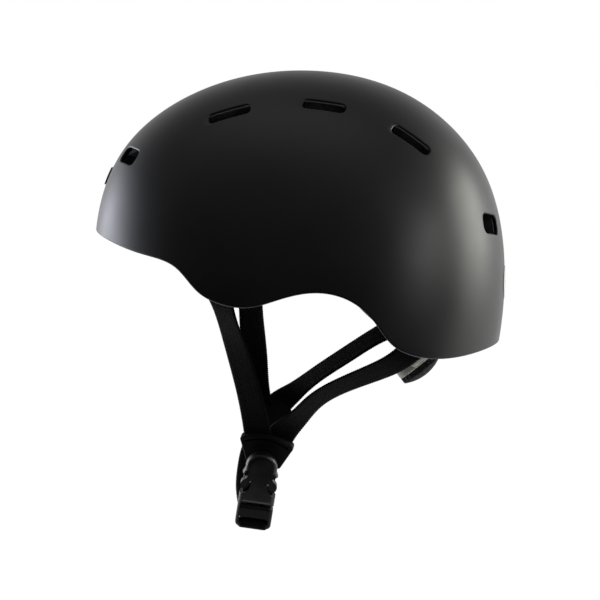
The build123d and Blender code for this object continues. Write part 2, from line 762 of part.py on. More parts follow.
def build_all():
    routes = strap_routes()
    parts = {
        "outer_shell": outer_shell(),
        "eps_liner": eps_liner(routes),
        "front_badge_plate": front_plate(),
        "rear_reflective_disc": rear_disc(),
        "brow_pad": brow_pad(),
        "crown_pad": crown_pad(),
        "side_pad_left": side_pad(),
        "side_pad_right": mirror(side_pad(), Plane.XZ),
        "rear_pad": rear_pad(),
        "pad_hook_dots": hook_dots(),
        "temple_stud_left": temple_stud(),
        "temple_stud_right": mirror(temple_stud(), Plane.XZ),
        "strap_divider_left": strap_divider(1, routes),
        "strap_divider_right": strap_divider(-1, routes),
        "buckle_female": buckle_female(routes),
        "buckle_male": buckle_male(routes),
        "buckle_prong_front": buckle_prong(1),
        "buckle_prong_rear": buckle_prong(-1),
        "cradle_housing": cradle_housing(),
        "cradle_cover": cradle_cover(),
        "cradle_screws": cradle_screws(),
        "nape_pad": nape_pad(),
        "band_left": band(1),
        "band_right": band(-1),
        "rack_left": rack(1),
        "rack_right": rack(-1),
        "fit_dial": fit_dial(),
        "dial_pinion": dial_pinion(),
    }
    for name, route in routes.items():
        parts[name] = webbing(*route)
    for end in ("front", "rear"):
        for side in ("left", "right"):
            parts[f"{end}_anchor_{side}"] = strap_anchor(*routes[f"{end}_strap_{side}"])
    return parts


if __name__ == "__main__":
    os.makedirs("parts", exist_ok=True)
    for name, solid in build_all().items():
        export_step(solid, os.path.join("parts", name + ".step"))
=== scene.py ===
"""Finished surfaces of a skateboard helmet: shell, foam, pads, webbing, buckle and fit system."""

import math

import bmesh
import bpy
import numpy as np
from bpy.props import FloatProperty, FloatVectorProperty, PointerProperty
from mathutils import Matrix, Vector
from mathutils.geometry import delaunay_2d_cdt


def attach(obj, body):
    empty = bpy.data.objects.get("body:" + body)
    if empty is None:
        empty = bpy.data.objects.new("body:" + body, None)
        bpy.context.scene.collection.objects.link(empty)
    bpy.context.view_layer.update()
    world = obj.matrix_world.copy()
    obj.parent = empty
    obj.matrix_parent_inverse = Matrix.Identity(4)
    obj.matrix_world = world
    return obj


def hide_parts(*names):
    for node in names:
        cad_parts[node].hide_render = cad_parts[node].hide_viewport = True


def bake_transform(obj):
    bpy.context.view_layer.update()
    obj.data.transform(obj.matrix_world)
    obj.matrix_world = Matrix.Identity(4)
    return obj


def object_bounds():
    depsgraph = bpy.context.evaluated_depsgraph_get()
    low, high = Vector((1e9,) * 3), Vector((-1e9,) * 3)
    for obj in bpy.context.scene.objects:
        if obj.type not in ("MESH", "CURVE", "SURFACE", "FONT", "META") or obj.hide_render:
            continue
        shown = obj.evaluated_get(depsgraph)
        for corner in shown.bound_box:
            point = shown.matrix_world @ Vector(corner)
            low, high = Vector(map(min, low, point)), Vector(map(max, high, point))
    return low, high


bl_info = {
    "name": "Skateboard Helmet",
    "version": (1, 0, 0),
    "blender": (4, 5, 0),
    "location": "View3D > Sidebar > Helmet",
    "description": "Builds the finished surfaces of a skateboard helmet on its CAD frame",
    "category": "Add Mesh",
}

MM = 0.001

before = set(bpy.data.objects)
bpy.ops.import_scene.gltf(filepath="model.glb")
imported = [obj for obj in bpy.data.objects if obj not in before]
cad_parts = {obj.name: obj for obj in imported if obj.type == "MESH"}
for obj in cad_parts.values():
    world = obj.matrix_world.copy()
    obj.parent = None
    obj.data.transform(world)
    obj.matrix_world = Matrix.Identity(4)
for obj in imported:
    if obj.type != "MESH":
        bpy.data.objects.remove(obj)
CAD_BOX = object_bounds()
SIDES = ((1, "left"), (-1, "right"))

# Form of the shell, as the CAD model has it. Shares are of its length, half width and depth.
SHELL_LENGTH = 277 * MM
SHELL_WIDTH = 216 * MM
SHELL_DEPTH = 187 * MM
CROWN_HEIGHT = 33 * MM
SIDE_FULLNESS = 2.25
PROFILE_SHARES = (
    (0.486, 0.969), (0.525, 0.591), (0.457, 0.286), (0.260, 0.067), (0.010, 0.000),
    (-0.240, 0.089), (-0.417, 0.344), (-0.475, 0.693), (-0.437, 1.140),
)
RIM_SHARES = (
    (0.570, 0.551), (0.505, 0.583), (0.367, 0.645), (0.274, 0.690), (0.217, 0.773),
    (0.160, 0.812), (0.097, 0.820), (0.036, 0.796), (-0.054, 0.768), (-0.130, 0.789),
    (-0.195, 0.866), (-0.238, 0.950), (-0.296, 0.992), (-0.375, 1.000),
    (-0.458, 0.978), (-0.513, 0.955),
)

# The pole is the middle of each side, and the heart is the point that the shell's grid is cast from.
POLE_SHARES = (-0.037, 0.940)
HEART_SHARES = (-0.02, 0.0, 0.66)

# Kinds of vent: length, width, corner and the length of the ramp that leads into the front end.
TOP_VENT = (28.5 * MM, 8.6 * MM, 3.4 * MM, 4.0 * MM)
FRONT_VENT = (23.5 * MM, 11.4 * MM, 3.8 * MM, 0.0)
REAR_VENT = (26.5 * MM, 13.2 * MM, 4.8 * MM, 0.0)

# Vents of the left side: centre in shares, the way out of the shell, the way along the vent, its kind.
VENT_SHARES = (
    ((0.166, 0.563, 0.156), (0.20, 0.70, 0.69), (-0.961, 0.009, 0.275), TOP_VENT),
    ((-0.059, 0.559, 0.129), (-0.09, 0.68, 0.73), (-0.991, 0.016, -0.133), TOP_VENT),
    ((-0.265, 0.556, 0.247), (-0.45, 0.65, 0.61), (-0.819, -0.030, -0.573), TOP_VENT),
    ((0.420, 0.392, 0.305), (0.67, 0.52, 0.53), (-0.515, 0.845, -0.146), FRONT_VENT),
    ((-0.449, 0.303, 0.5445), (-0.93, 0.32, 0.20), (-0.304, -0.948, -0.098), REAR_VENT),
)

# Routes of the webbing, from the foam down or from the buckle round the chin, in the same shares: the
# way across a strap, how far its front or upper edge leans outwards at each point, and the points.
FRONT_ACROSS = (1.0, 0.0, 0.0)
REAR_ACROSS = (0.5, 0.0, 0.87)
FRONT_TWIST = (0, -0.25, -0.60, -0.50, -0.30, -0.12, 0)
NEAR_REAR_TWIST = (0, 0.38, 0.76, 1.02, 1.22, 1.35, 1.05, 0.40, 0)
FAR_REAR_TWIST = (0, 0.15, 0.55, 1.15, 1.35, 1.40, 1.05, 0.40, 0)
NO_TWIST = (0,) * 9
STRAP_SHARES = {
    "front_strap_left": (FRONT_ACROSS, FRONT_TWIST, (
        (0.184, 0.824, 0.701), (0.177, 0.824, 0.765), (0.168, 0.796, 0.824),
        (0.144, 0.648, 0.979), (0.121, 0.519, 1.144), (0.108, 0.438, 1.273), (0.104, 0.410, 1.329))),
    "rear_strap_left": (REAR_ACROSS, NEAR_REAR_TWIST, (
        (-0.310, 0.680, 0.893), (-0.284, 0.695, 0.950), (-0.247, 0.690, 1.002),
        (-0.181, 0.625, 1.056), (-0.108, 0.565, 1.103), (-0.036, 0.509, 1.166),
        (0.014, 0.454, 1.239), (0.047, 0.413, 1.287), (0.063, 0.393, 1.332))),
    "front_strap_right": (FRONT_ACROSS, FRONT_TWIST, (
        (0.197, -0.824, 0.701), (0.195, -0.819, 0.765), (0.192, -0.792, 0.861),
        (0.181, -0.685, 0.975), (0.169, -0.574, 1.084), (0.158, -0.472, 1.198), (0.148, -0.435, 1.254))),
    "rear_strap_right": (REAR_ACROSS, FAR_REAR_TWIST, (
        (-0.303, -0.685, 0.877), (-0.267, -0.705, 0.909), (-0.217, -0.720, 0.940),
        (-0.155, -0.699, 0.981), (-0.068, -0.630, 1.060), (0.014, -0.556, 1.141),
        (0.065, -0.491, 1.198), (0.097, -0.428, 1.237), (0.112, -0.407, 1.265))),
    "buckle_strap": (FRONT_ACROSS, NO_TWIST, (
        (0.095, 0.393, 1.350), (0.097, 0.371, 1.388), (0.099, 0.368, 1.425), (0.102, 0.363, 1.462))),
    "chin_strap": (FRONT_ACROSS, NO_TWIST, (
        (0.120, 0.384, 1.599), (0.124, 0.290, 1.600), (0.133, 0.162, 1.596), (0.145, 0.028, 1.568),
        (0.157, -0.102, 1.519), (0.159, -0.213, 1.457), (0.154, -0.310, 1.398),
        (0.141, -0.384, 1.340), (0.138, -0.406, 1.297))),
}

# The buckle's frame: the middle of its top, the way down it and its roll. The bar at its foot
# runs between two distances down it, and is as thick as the buckle.
BUCKLE_SHARES = (0.088, 0.487, 1.353)
BUCKLE_DOWN = (0.1825, -0.2646, -0.947)
BUCKLE_ROLL = 9
BAR_SPAN = (50.7 * MM, 54.5 * MM)
BUCKLE_THICKNESS = 9.4 * MM

# The fit system, as the CAD model has it: the dial's middle and how far down it faces, the temple
# stud, where a rack ends and its section, the way a band leaves its eye, the bands' routes, and how
# far behind the dial's middle the nape pad lies.
DIAL_SHARES = (-0.266, 1.063)
DIAL_ANGLE = 52
STUD_SHARES = (-0.054, 0.695)
STUD_OUT = 76.3 * MM
RACK_END = (39.3 * MM, 7.65 * MM, -3.1 * MM)
RACK_SECTION = (5.0 * MM, 2.6 * MM)
BAND_WAY = (-0.912, 0.0, -0.41)
BAND_SHARES = {
    1: ((-0.258, 0.463, 0.968), (-0.221, 0.570, 0.893), (-0.168, 0.656, 0.815)),
    -1: ((-0.240, 0.463, 0.985), (-0.212, 0.570, 0.898), (-0.165, 0.656, 0.815)),
}
NAPE_FACE = -7.7 * MM

# How far inside the shell's outer face the foam ends and the pads begin.
FOAM_INNER = 24.7 * MM
PAD_OUTER = 26.1 * MM

# Pads: length, width and corner, then where sewn channels cross one and how far they run each way
# from its middle line.
CROWN_PAD = (114 * MM, 72 * MM, 36 * MM, (24 * MM, -24 * MM), 30 * MM)
SIDE_PAD = (61 * MM, 33 * MM, 12 * MM, (0.0,), 10 * MM)
REAR_PAD = (90 * MM, 29 * MM, 12 * MM, (20 * MM, -20 * MM), 10 * MM)
BROW_PAD = (180 * MM, 33 * MM, 12 * MM, (40 * MM, -40 * MM, 0.0), 10 * MM)
NAPE_PAD = (56 * MM, 21 * MM, 8 * MM, (0.0,), 6 * MM)

# The points inside the helmet that pads face away from, the radius of the brow band and how far its
# middle lies above the rim.
CROWN_PAD_ORIGIN = (0.0, 0.0, -60 * MM)
SIDE_PAD_SHARES = (0.03, 0, 0.46)
REAR_PAD_SHARES = (-0.2, 0, 0.50)
BROW_RADIUS = 105 * MM
BROW_RISE = 24 * MM


def place(along, aside, down):
    """A point from its shares of the shell's length, half width and depth."""
    return np.array((along * SHELL_LENGTH, aside * SHELL_WIDTH / 2, CROWN_HEIGHT - down * SHELL_DEPTH))


POLE = place(POLE_SHARES[0], 0, POLE_SHARES[1])
HEART = place(*HEART_SHARES)


def unit(vectors):
    """Vectors brought to a length of 1."""
    vectors = np.asarray(vectors, float)
    return vectors / np.linalg.norm(vectors, axis=-1, keepdims=True)


def distances_along(points):
    """How far each of a row of points lies from the first, along the chords."""
    return np.concatenate([[0.0], np.cumsum(np.linalg.norm(np.diff(points, axis=0), axis=1))])


class Curve:
    """A smooth cubic curve through points, measured along its chords.

    Columns after a point's place, such as a way across, are carried along as smoothly."""

    END_POINTS = 4

    def __init__(self, points):
        self.points = np.asarray(points, float)
        self.at = distances_along(self.points[:, :3])
        gaps = np.diff(self.at)
        count = len(self.points)
        slopes = np.diff(self.points, axis=0) / gaps[:, None]
        matrix = np.zeros((count, count))
        right = np.zeros_like(self.points)
        for i in range(1, count - 1):
            before, after = gaps[i - 1], gaps[i]
            matrix[i, i - 1:i + 2] = after, 2 * (before + after), before
            right[i] = 3 * (after * slopes[i - 1] + before * slopes[i])
        matrix[0, 0] = matrix[-1, -1] = 1
        reach = min(self.END_POINTS, count)
        right[0] = self.end_slope(self.at[:reach], self.points[:reach])
        right[-1] = -self.end_slope(self.at[-1] - self.at[-reach:][::-1], self.points[-reach:][::-1])
        self.slopes = np.linalg.solve(matrix, right)

    @staticmethod
    def end_slope(at, points):
        """The slope at the first point of the one polynomial through these points."""
        return np.polyfit(at - at[0], points, len(at) - 1)[-2]

    def at_distance(self, distance):
        """Points and headings at these distances along the chords."""
        distance = np.asarray(distance, float)
        part = np.clip(np.searchsorted(self.at, distance, side="right") - 1, 0, len(self.at) - 2)
        gap = (self.at[part + 1] - self.at[part])[:, None]
        t = (distance[:, None] - self.at[part][:, None]) / gap
        p0, p1 = self.points[part], self.points[part + 1]
        m0, m1 = self.slopes[part] * gap, self.slopes[part + 1] * gap
        spot = ((2 * t**3 - 3 * t**2 + 1) * p0 + (t**3 - 2 * t**2 + t) * m0
                + (3 * t**2 - 2 * t**3) * p1 + (t**3 - t**2) * m1)
        heading = (6 * t**2 - 6 * t) * (p0 - p1) + (3 * t**2 - 4 * t + 1) * m0 + (3 * t**2 - 2 * t) * m1
        return spot, unit(heading[:, :3])

    def spread(self, count):
        """Evenly spread points and headings over the whole curve."""
        return self.at_distance(np.linspace(0, self.at[-1], count))


class Dome:
    """The shell's form moved inwards by an inset: a side profile drawn in towards a pole at each side."""

    SAMPLES = 900
    STEPS = 46
    NUDGE = 0.2 * MM
    TINY = 1e-9

    def __init__(self, inset=0.0):
        knots = np.array([place(along, 0, down) for along, down in PROFILE_SHARES])
        chords = (knots[1:2] - knots[:1], knots[2:] - knots[:-2], knots[-1:] - knots[-2:-1])
        inwards = np.cross(unit(np.concatenate(chords)), (0, 1, 0))
        spots, _ = Curve(knots + inwards * inset).spread(self.SAMPLES)
        reach = spots - POLE
        self.angles = np.unwrap(np.arctan2(reach[:, 2], reach[:, 0]))
        self.radii = np.linalg.norm(reach, axis=1)
        self.half_width = SHELL_WIDTH / 2 - inset

    def level(self, points):
        """Under 1 inside the form, 1 on it, and over 1 outside."""
        across = np.clip(np.abs(points[..., 1]) / self.half_width, 0, 1)
        share = (1 - across**SIDE_FULLNESS) ** (1 / SIDE_FULLNESS)
        along, up = points[..., 0] - POLE[0], points[..., 2] - POLE[2]
        angle = np.mod(np.arctan2(up, along) + math.pi / 2, 2 * math.pi) - math.pi / 2
        reach = np.interp(angle, self.angles, self.radii)
        return np.hypot(along, up) / np.maximum(share * reach, self.TINY)

    def cast(self, origins, ways):
        """Where rays from points inside the form leave it."""
        origins, ways = np.broadcast_arrays(np.asarray(origins, float), unit(ways))
        low = np.zeros(origins.shape[:-1])
        high = np.full(origins.shape[:-1], SHELL_LENGTH)
        for _ in range(self.STEPS):
            middle = (low + high) / 2
            inside = self.level(origins + ways * middle[..., None]) < 1
            low = np.where(inside, middle, low)
            high = np.where(inside, high, middle)
        return origins + ways * low[..., None]

    def normals(self, points):
        """The way out of the form at points on it."""
        rises = [self.level(points + step) - self.level(points - step) for step in np.eye(3) * self.NUDGE]
        return unit(np.stack(rises, axis=-1))


def rim_height(along):
    """The height of the shell's bottom edge at distances along its length."""
    spots, _ = Curve([place(x, 0, down) for x, down in RIM_SHARES]).spread(Dome.SAMPLES)
    return np.interp(along, spots[::-1, 0], spots[::-1, 2])


# Helpers for meshes

CORNER_POINTS = 16
WELD_GAP = 0.002 * MM
ROUNDING_STEPS = 3
SHARP_ANGLE = math.radians(50)


def new_object(name, bm):
    """An object from a bmesh, in the scene, with its faces turned outwards."""
    bmesh.ops.recalc_face_normals(bm, faces=bm.faces)
    mesh = bpy.data.meshes.new(name)
    bm.to_mesh(mesh)
    bm.free()
    mesh.polygons.foreach_set("use_smooth", [True] * len(mesh.polygons))
    made = bpy.data.objects.new(name, mesh)
    bpy.context.scene.collection.objects.link(made)
    return made


def add_ring(bm, points):
    """New vertices at a row of points."""
    return [bm.verts.new(point) for point in points]


def bridge(bm, first, second):
    """Quads between two rings of as many vertices."""
    for i in range(len(first)):
        j = (i + 1) % len(first)
        bm.faces.new((first[i], first[j], second[j], second[i]))


def bridge_row(bm, rings):
    """Quads along a row of rings."""
    for first, second in zip(rings, rings[1:]):
        bridge(bm, first, second)


def close_row(bm, rings):
    """Quads along a row of rings, and a face over each end."""
    bridge_row(bm, rings)
    bm.faces.new(rings[0])
    bm.faces.new(rings[-1][::-1])


def rounded_outline(half_length, half_width, corner, count):
    """Evenly spaced points round a rectangle with its corners as arcs."""
    corner = min(corner, half_length, half_width)
    points = []
    for number, (sx, sy) in enumerate(((1, 1), (-1, 1), (-1, -1), (1, -1))):
        for step in range(CORNER_POINTS + 1):
            angle = math.pi / 2 * (number + step / CORNER_POINTS)
            points.append((sx * (half_length - corner) + corner * math.cos(angle),
                           sy * (half_width - corner) + corner * math.sin(angle)))
    closed = np.array(points + points[:1])
    at = distances_along(closed)
    wanted = np.linspace(0, at[-1], count, endpoint=False)
    return np.stack([np.interp(wanted, at, closed[:, 0]), np.interp(wanted, at, closed[:, 1])], axis=1)


def rectangle_distance(u, v, half_length, half_width, corner):
    """How far points lie outside a rounded rectangle, negative inside it."""
    over_u = np.abs(u) - (half_length - corner)
    over_v = np.abs(v) - (half_width - corner)
    outside = np.hypot(np.maximum(over_u, 0), np.maximum(over_v, 0))
    return outside + np.minimum(np.maximum(over_u, over_v), 0) - corner


# Helpers for materials

def linear(colour):
    """An sRGB hex colour as linear RGBA."""
    channels = [int(colour[i:i + 2], 16) / 255 for i in (1, 3, 5)]
    return tuple(c / 12.92 if c <= 0.04045 else ((c + 0.055) / 1.055) ** 2.4 for c in channels) + (1.0,)


def per(size):
    """A texture's scale that makes one feature this long."""
    return 1.0 / size


def set_inputs(tree, node, inputs):
    """Sets a node's inputs, each to a value or to the socket that feeds it."""
    for name, value in inputs.items():
        if isinstance(value, bpy.types.NodeSocket):
            tree.links.new(value, node.inputs[name])
        else:
            node.inputs[name].default_value = value


def add_node(tree, kind, inputs=None, **settings):
    """Adds a node with its settings and links, and gives its outputs."""
    node = tree.nodes.new("ShaderNode" + kind)
    for name, value in settings.items():
        setattr(node, name, value)
    set_inputs(tree, node, inputs or {})
    return node.outputs


def new_material(name):
    """A material, its tree and the place of the surface in metres."""
    material = bpy.data.materials.new(name)
    material.use_nodes = True
    return material, material.node_tree, add_node(material.node_tree, "TexCoord")["Object"]


def shade(material, inputs):
    """Sets up the material's shader, and gives the material."""
    set_inputs(material.node_tree, material.node_tree.nodes["Principled BSDF"], inputs)
    return material


def two_tones(tree, pattern, dark, light, start=0.0, end=1.0):
    """A colour that goes from one tone to another as a pattern rises between two levels."""
    share = add_node(tree, "MapRange", {"Value": pattern, "From Min": start, "From Max": end})["Result"]
    return add_node(tree, "Mix", {"Factor": share, "A": dark, "B": light}, data_type="RGBA")["Result"]


def dress(piece, material):
    """Gives a piece one material."""
    piece.data.materials.clear()
    piece.data.materials.append(material)
    return piece


def dress_nodes(material, *names):
    """Gives CAD nodes one material."""
    for name in names:
        dress(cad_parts[name], material)


def soften(name, radius):
    """Joins the faces of a CAD node and rounds its sharp edges."""
    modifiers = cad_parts[name].modifiers
    modifiers.new("joined_faces", "WELD").merge_threshold = WELD_GAP
    rounding = modifiers.new("rounded_edges", "BEVEL")
    rounding.width, rounding.segments = radius, ROUNDING_STEPS
    rounding.limit_method, rounding.angle_limit = "ANGLE", SHARP_ANGLE
    rounding.harden_normals = True


# Materials, each named for the real one

def satin_abs():
    """Injection-moulded ABS under a satin black paint: soft broad gloss and a faint orange peel."""
    colours = bpy.context.scene.helmet_colours
    material, tree, spot = new_material("satin_painted_abs")
    mottle = add_node(tree, "TexNoise", {"Vector": spot, "Scale": per(34 * MM), "Detail": 3.0})["Fac"]
    dullness = add_node(tree, "MapRange", {"Value": mottle, "From Min": 0.3, "From Max": 0.7,
                                           "To Min": 0.40, "To Max": 0.46})["Result"]
    peel = add_node(tree, "TexNoise", {"Vector": spot, "Scale": per(2.2 * MM), "Detail": 1.0})["Fac"]
    return shade(material, {
        "Base Color": two_tones(tree, mottle, colours.shell, colours.shell_light, 0.35, 0.75),
        "IOR": 1.5, "Roughness": dullness, "Specular IOR Level": 0.5,
        "Normal": add_node(tree, "Bump", {"Height": peel, "Distance": 0.012 * MM})["Normal"]})


def bead_foam():
    """Expanded polystyrene, steam-moulded: dull, with the outlines of pressed beads."""
    colours = bpy.context.scene.helmet_colours
    material, tree, spot = new_material("moulded_bead_foam")
    bead = {"Vector": spot, "Scale": per(3.4 * MM)}
    tint = add_node(tree, "SeparateColor", {"Color": add_node(tree, "TexVoronoi", bead)["Color"]})["Red"]
    edges = add_node(tree, "TexVoronoi", bead, feature="DISTANCE_TO_EDGE")["Distance"]
    groove = add_node(tree, "MapRange", {"Value": edges, "From Max": 0.12})["Result"]
    pressed = add_node(tree, "Bump", {"Height": groove, "Distance": 0.18 * MM})["Normal"]
    skin = add_node(tree, "TexNoise", {"Vector": spot, "Scale": per(0.5 * MM)})["Fac"]
    relief = add_node(tree, "Bump", {"Height": skin, "Distance": 0.03 * MM, "Normal": pressed})["Normal"]
    return shade(material, {
        "Base Color": two_tones(tree, tint, colours.foam, colours.foam_light),
        "IOR": 1.55, "Roughness": 0.9, "Specular IOR Level": 0.2, "Normal": relief})


def knit_fabric():
    """Brushed polyester knit over foam: deep matte black with a soft nap and fine loops.

    The loops lie 1.1 mm apart, somewhat coarser than real ones, to show."""
    colours = bpy.context.scene.helmet_colours
    material, tree, spot = new_material("brushed_knit")
    nap = add_node(tree, "TexNoise", {"Vector": spot, "Scale": per(6 * MM), "Detail": 4.0})["Fac"]
    loops = add_node(tree, "TexVoronoi", {"Vector": spot, "Scale": per(1.1 * MM), "Randomness": 0.35})
    knit = add_node(tree, "Bump", {"Height": loops["Distance"], "Distance": 0.10 * MM})["Normal"]
    hairs = add_node(tree, "TexNoise", {"Vector": spot, "Scale": per(0.35 * MM), "Detail": 3.0})["Fac"]
    relief = add_node(tree, "Bump", {"Height": hairs, "Distance": 0.06 * MM, "Normal": knit})["Normal"]
    return shade(material, {
        "Base Color": two_tones(tree, nap, colours.fabric, colours.fabric_light, 0.3, 0.8),
        "Roughness": 0.95, "Sheen Weight": 0.35, "Sheen Roughness": 0.5, "Specular IOR Level": 0.25,
        "Normal": relief})


def hook_tape():
    """Woven nylon hook-and-loop tape: a dense rough pile, drawn about twice as coarse as real, to show."""
    colours = bpy.context.scene.helmet_colours
    material, tree, spot = new_material("hook_and_loop_tape")
    pile = add_node(tree, "TexNoise", {"Vector": spot, "Scale": per(0.6 * MM), "Detail": 3.0})["Fac"]
    return shade(material, {
        "Base Color": two_tones(tree, pile, colours.fabric, colours.fabric_light), "Roughness": 0.9,
        "Normal": add_node(tree, "Bump", {"Height": pile, "Distance": 0.3 * MM})["Normal"]})


def woven_polyester():
    """Polyester webbing, loom-woven in a herringbone: dull black with threads that catch a little light.

    Picks lie 1.6 mm apart and columns are 3.2 mm wide, about a third coarser than real ones, to show."""
    colours = bpy.context.scene.helmet_colours
    material, tree, _ = new_material("woven_webbing")
    column = 3.2 * MM
    pick = bpy.context.scene.helmet_sizes.pick_spacing
    cloth = add_node(tree, "SeparateXYZ", {"Vector": add_node(tree, "UVMap", uv_map=WEAVE_MAP)["UV"]})
    zigzag = add_node(tree, "Math", {0: cloth["X"], 1: column}, operation="PINGPONG")["Value"]
    slant = add_node(tree, "Math", {0: zigzag, 1: 0.9, 2: cloth["Y"]}, operation="MULTIPLY_ADD")["Value"]
    turn = add_node(tree, "Math", {0: slant, 1: 2 * math.pi / pick}, operation="MULTIPLY")["Value"]
    wave = add_node(tree, "Math", {0: turn}, operation="SINE")["Value"]
    threads = add_node(tree, "MapRange", {"Value": wave, "From Min": -1.0})["Result"]
    across = add_node(tree, "Math", {0: cloth["X"], 1: math.pi / column}, operation="MULTIPLY")["Value"]
    swing = add_node(tree, "Math", {0: across}, operation="SINE")["Value"]
    reach = add_node(tree, "Math", {0: swing}, operation="ABSOLUTE")["Value"]
    seams = add_node(tree, "MapRange", {"Value": reach, "From Max": 0.5, "To Min": 0.35})["Result"]
    weave = add_node(tree, "Math", {0: threads, 1: seams}, operation="MULTIPLY")["Value"]
    # The colour follows the weave's relief: painted shade between the threads and along the column seams,
    # lighter on the thread tops.
    return shade(material, {
        "Base Color": two_tones(tree, weave, colours.webbing, colours.webbing_light, 0.2, 0.95),
        "Roughness": 0.8, "Sheen Weight": 0.02, "Sheen Roughness": 0.4, "Specular IOR Level": 0.13,
        "Normal": add_node(tree, "Bump", {"Height": weave, "Distance": 0.22 * MM})["Normal"]})


def moulded_plastic(name, dark, light, roughness, grain, depth, gloss=0.5):
    """Moulded thermoplastic with the grain of a spark-eroded tool, drawn a few times coarser, to show."""
    material, tree, spot = new_material(name)
    flow = add_node(tree, "TexNoise", {"Vector": spot, "Scale": per(9 * MM), "Detail": 3.0})["Fac"]
    dullness = add_node(tree, "MapRange", {"Value": flow, "From Min": 0.3, "From Max": 0.7,
                                           "To Min": roughness - 0.05,
                                           "To Max": roughness + 0.06})["Result"]
    pits = add_node(tree, "TexNoise", {"Vector": spot, "Scale": per(grain), "Detail": 3.0})["Fac"]
    return shade(material, {
        "Base Color": two_tones(tree, flow, dark, light, 0.3, 0.75),
        "IOR": 1.49, "Roughness": dullness, "Specular IOR Level": gloss,
        "Normal": add_node(tree, "Bump", {"Height": pits, "Distance": depth})["Normal"]})


def acetal():
    """Acetal, injection-moulded: hard black with a low sheen."""
    colours = bpy.context.scene.helmet_colours
    return moulded_plastic("moulded_acetal", colours.buckle, colours.buckle_light, 0.36, 0.9 * MM,
                           0.02 * MM)


def matt_acetal():
    """Acetal, injection-moulded in a bead-blasted tool: as black, and duller."""
    colours = bpy.context.scene.helmet_colours
    return moulded_plastic("matt_acetal", colours.base, colours.base_light, 0.55, 0.7 * MM,
                           0.03 * MM, gloss=0.25)


def grey_nylon():
    """Glass-filled nylon, injection-moulded, in olive grey: a dull even sheen."""
    colours = bpy.context.scene.helmet_colours
    return moulded_plastic("moulded_grey_nylon", colours.cradle, colours.cradle_light, 0.5, 1.2 * MM,
                           0.04 * MM)


def black_nylon():
    """Nylon, injection-moulded, in black: a dull even sheen on the pinion, studs and anchors."""
    colours = bpy.context.scene.helmet_colours
    return moulded_plastic("moulded_black_nylon", colours.nylon, colours.buckle_light, 0.48, 1.2 * MM,
                           0.03 * MM)


def soft_touch():
    """Thermoplastic elastomer, overmoulded: dull dark grey with a coarse grain that speckles."""
    colours = bpy.context.scene.helmet_colours
    material, tree, spot = new_material("overmoulded_elastomer")
    grit = add_node(tree, "TexNoise", {"Vector": spot, "Scale": per(1.1 * MM), "Detail": 4.0,
                                       "Roughness": 0.7})["Fac"]
    dullness = add_node(tree, "MapRange", {"Value": grit, "From Min": 0.4, "From Max": 0.7,
                                           "To Min": 0.95, "To Max": 0.7})["Result"]
    return shade(material, {
        "Base Color": two_tones(tree, grit, colours.dial, colours.dial_light, 0.42, 0.68),
        "IOR": 1.5, "Roughness": dullness, "Specular IOR Level": 0.3,
        "Normal": add_node(tree, "Bump", {"Height": grit, "Distance": 0.10 * MM})["Normal"]})


def reflective_film():
    """Prismatic retroreflective film, laminated: light grey with a small honeycomb under a clear face.

    The cells are 2.4 mm wide, coarser than real ones, to show."""
    colours = bpy.context.scene.helmet_colours
    material, tree, spot = new_material("retroreflective_film")
    cells = add_node(tree, "TexVoronoi", {"Vector": spot, "Scale": per(2.4 * MM), "Randomness": 0.15},
                     feature="DISTANCE_TO_EDGE")["Distance"]
    return shade(material, {
        "Base Color": two_tones(tree, cells, colours.film_light, colours.film, 0.02, 0.10),
        "IOR": 1.5, "Roughness": 0.35, "Coat Weight": 0.4, "Coat Roughness": 0.12,
        "Normal": add_node(tree, "Bump", {"Height": cells, "Distance": 0.03 * MM})["Normal"]})


def plated_steel():
    """Steel, cold-headed and zinc-plated: bright grey metal with fine turning marks."""
    colours = bpy.context.scene.helmet_colours
    material, tree, spot = new_material("zinc_plated_steel")
    marks = add_node(tree, "TexNoise", {"Vector": spot, "Scale": per(0.4 * MM), "Detail": 3.0})["Fac"]
    return shade(material, {
        "Base Color": two_tones(tree, marks, colours.steel, colours.steel_light), "Metallic": 1.0,
        "Roughness": add_node(tree, "MapRange", {"Value": marks, "To Min": 0.24, "To Max": 0.42})["Result"],
        "Normal": add_node(tree, "Bump", {"Height": marks, "Distance": 0.01 * MM})["Normal"]})


# Shell

SHELL_GRID = 160
RIM_TABLE = 2880
RIM_SEARCH = (math.radians(-60), math.radians(80))
RIM_ROUNDS = 30
RIM_STEPS = 8
VENT_POINTS = 64
LIP_STEPS = 7

# How far round a vent's mouth the edge of its hole in the grid is looked for, and how near to the
# form a point counts as on it.
HOLE_REACH = 6 * MM
ON_FORM = 1e-5

# What the flat triangulation is told: to keep the faces inside the outer edge, and how near two
# points are one.
INSIDE_FACES = 1
SAME_POINT = 1e-9


def elevation_ray(turn, height):
    """The way from the heart of the helmet at a compass angle and an angle above level."""
    return np.stack([np.cos(height) * np.cos(turn), np.cos(height) * np.sin(turn), np.sin(height)], axis=-1)


def rim_angles(dome, turns, lift):
    """How far above level the bottom edge lies, seen from the heart, for each compass angle."""
    low, high = (np.full(turns.shape, end) for end in RIM_SEARCH)
    for _ in range(RIM_ROUNDS):
        middle = (low + high) / 2
        spots = dome.cast(HEART, elevation_ray(turns, middle))
        above = spots[:, 2] > rim_height(spots[:, 0]) + lift
        high = np.where(above, middle, high)
        low = np.where(above, low, middle)
    return high


def disc_of_square(a, b):
    """Share of the way out and angle for points of a square, so that its edge is the disc's."""
    wide = np.abs(a) >= np.abs(b)
    reach = np.maximum(np.abs(a), np.abs(b))
    safe_a = np.where(a == 0, 1, a)
    safe_b = np.where(b == 0, 1, b)
    by_a = math.pi / 4 * b / safe_a + np.where(a < 0, math.pi, 0)
    by_b = math.pi / 2 - math.pi / 4 * a / safe_b + np.where(b < 0, math.pi, 0)
    return reach, np.where(wide, by_a, by_b)


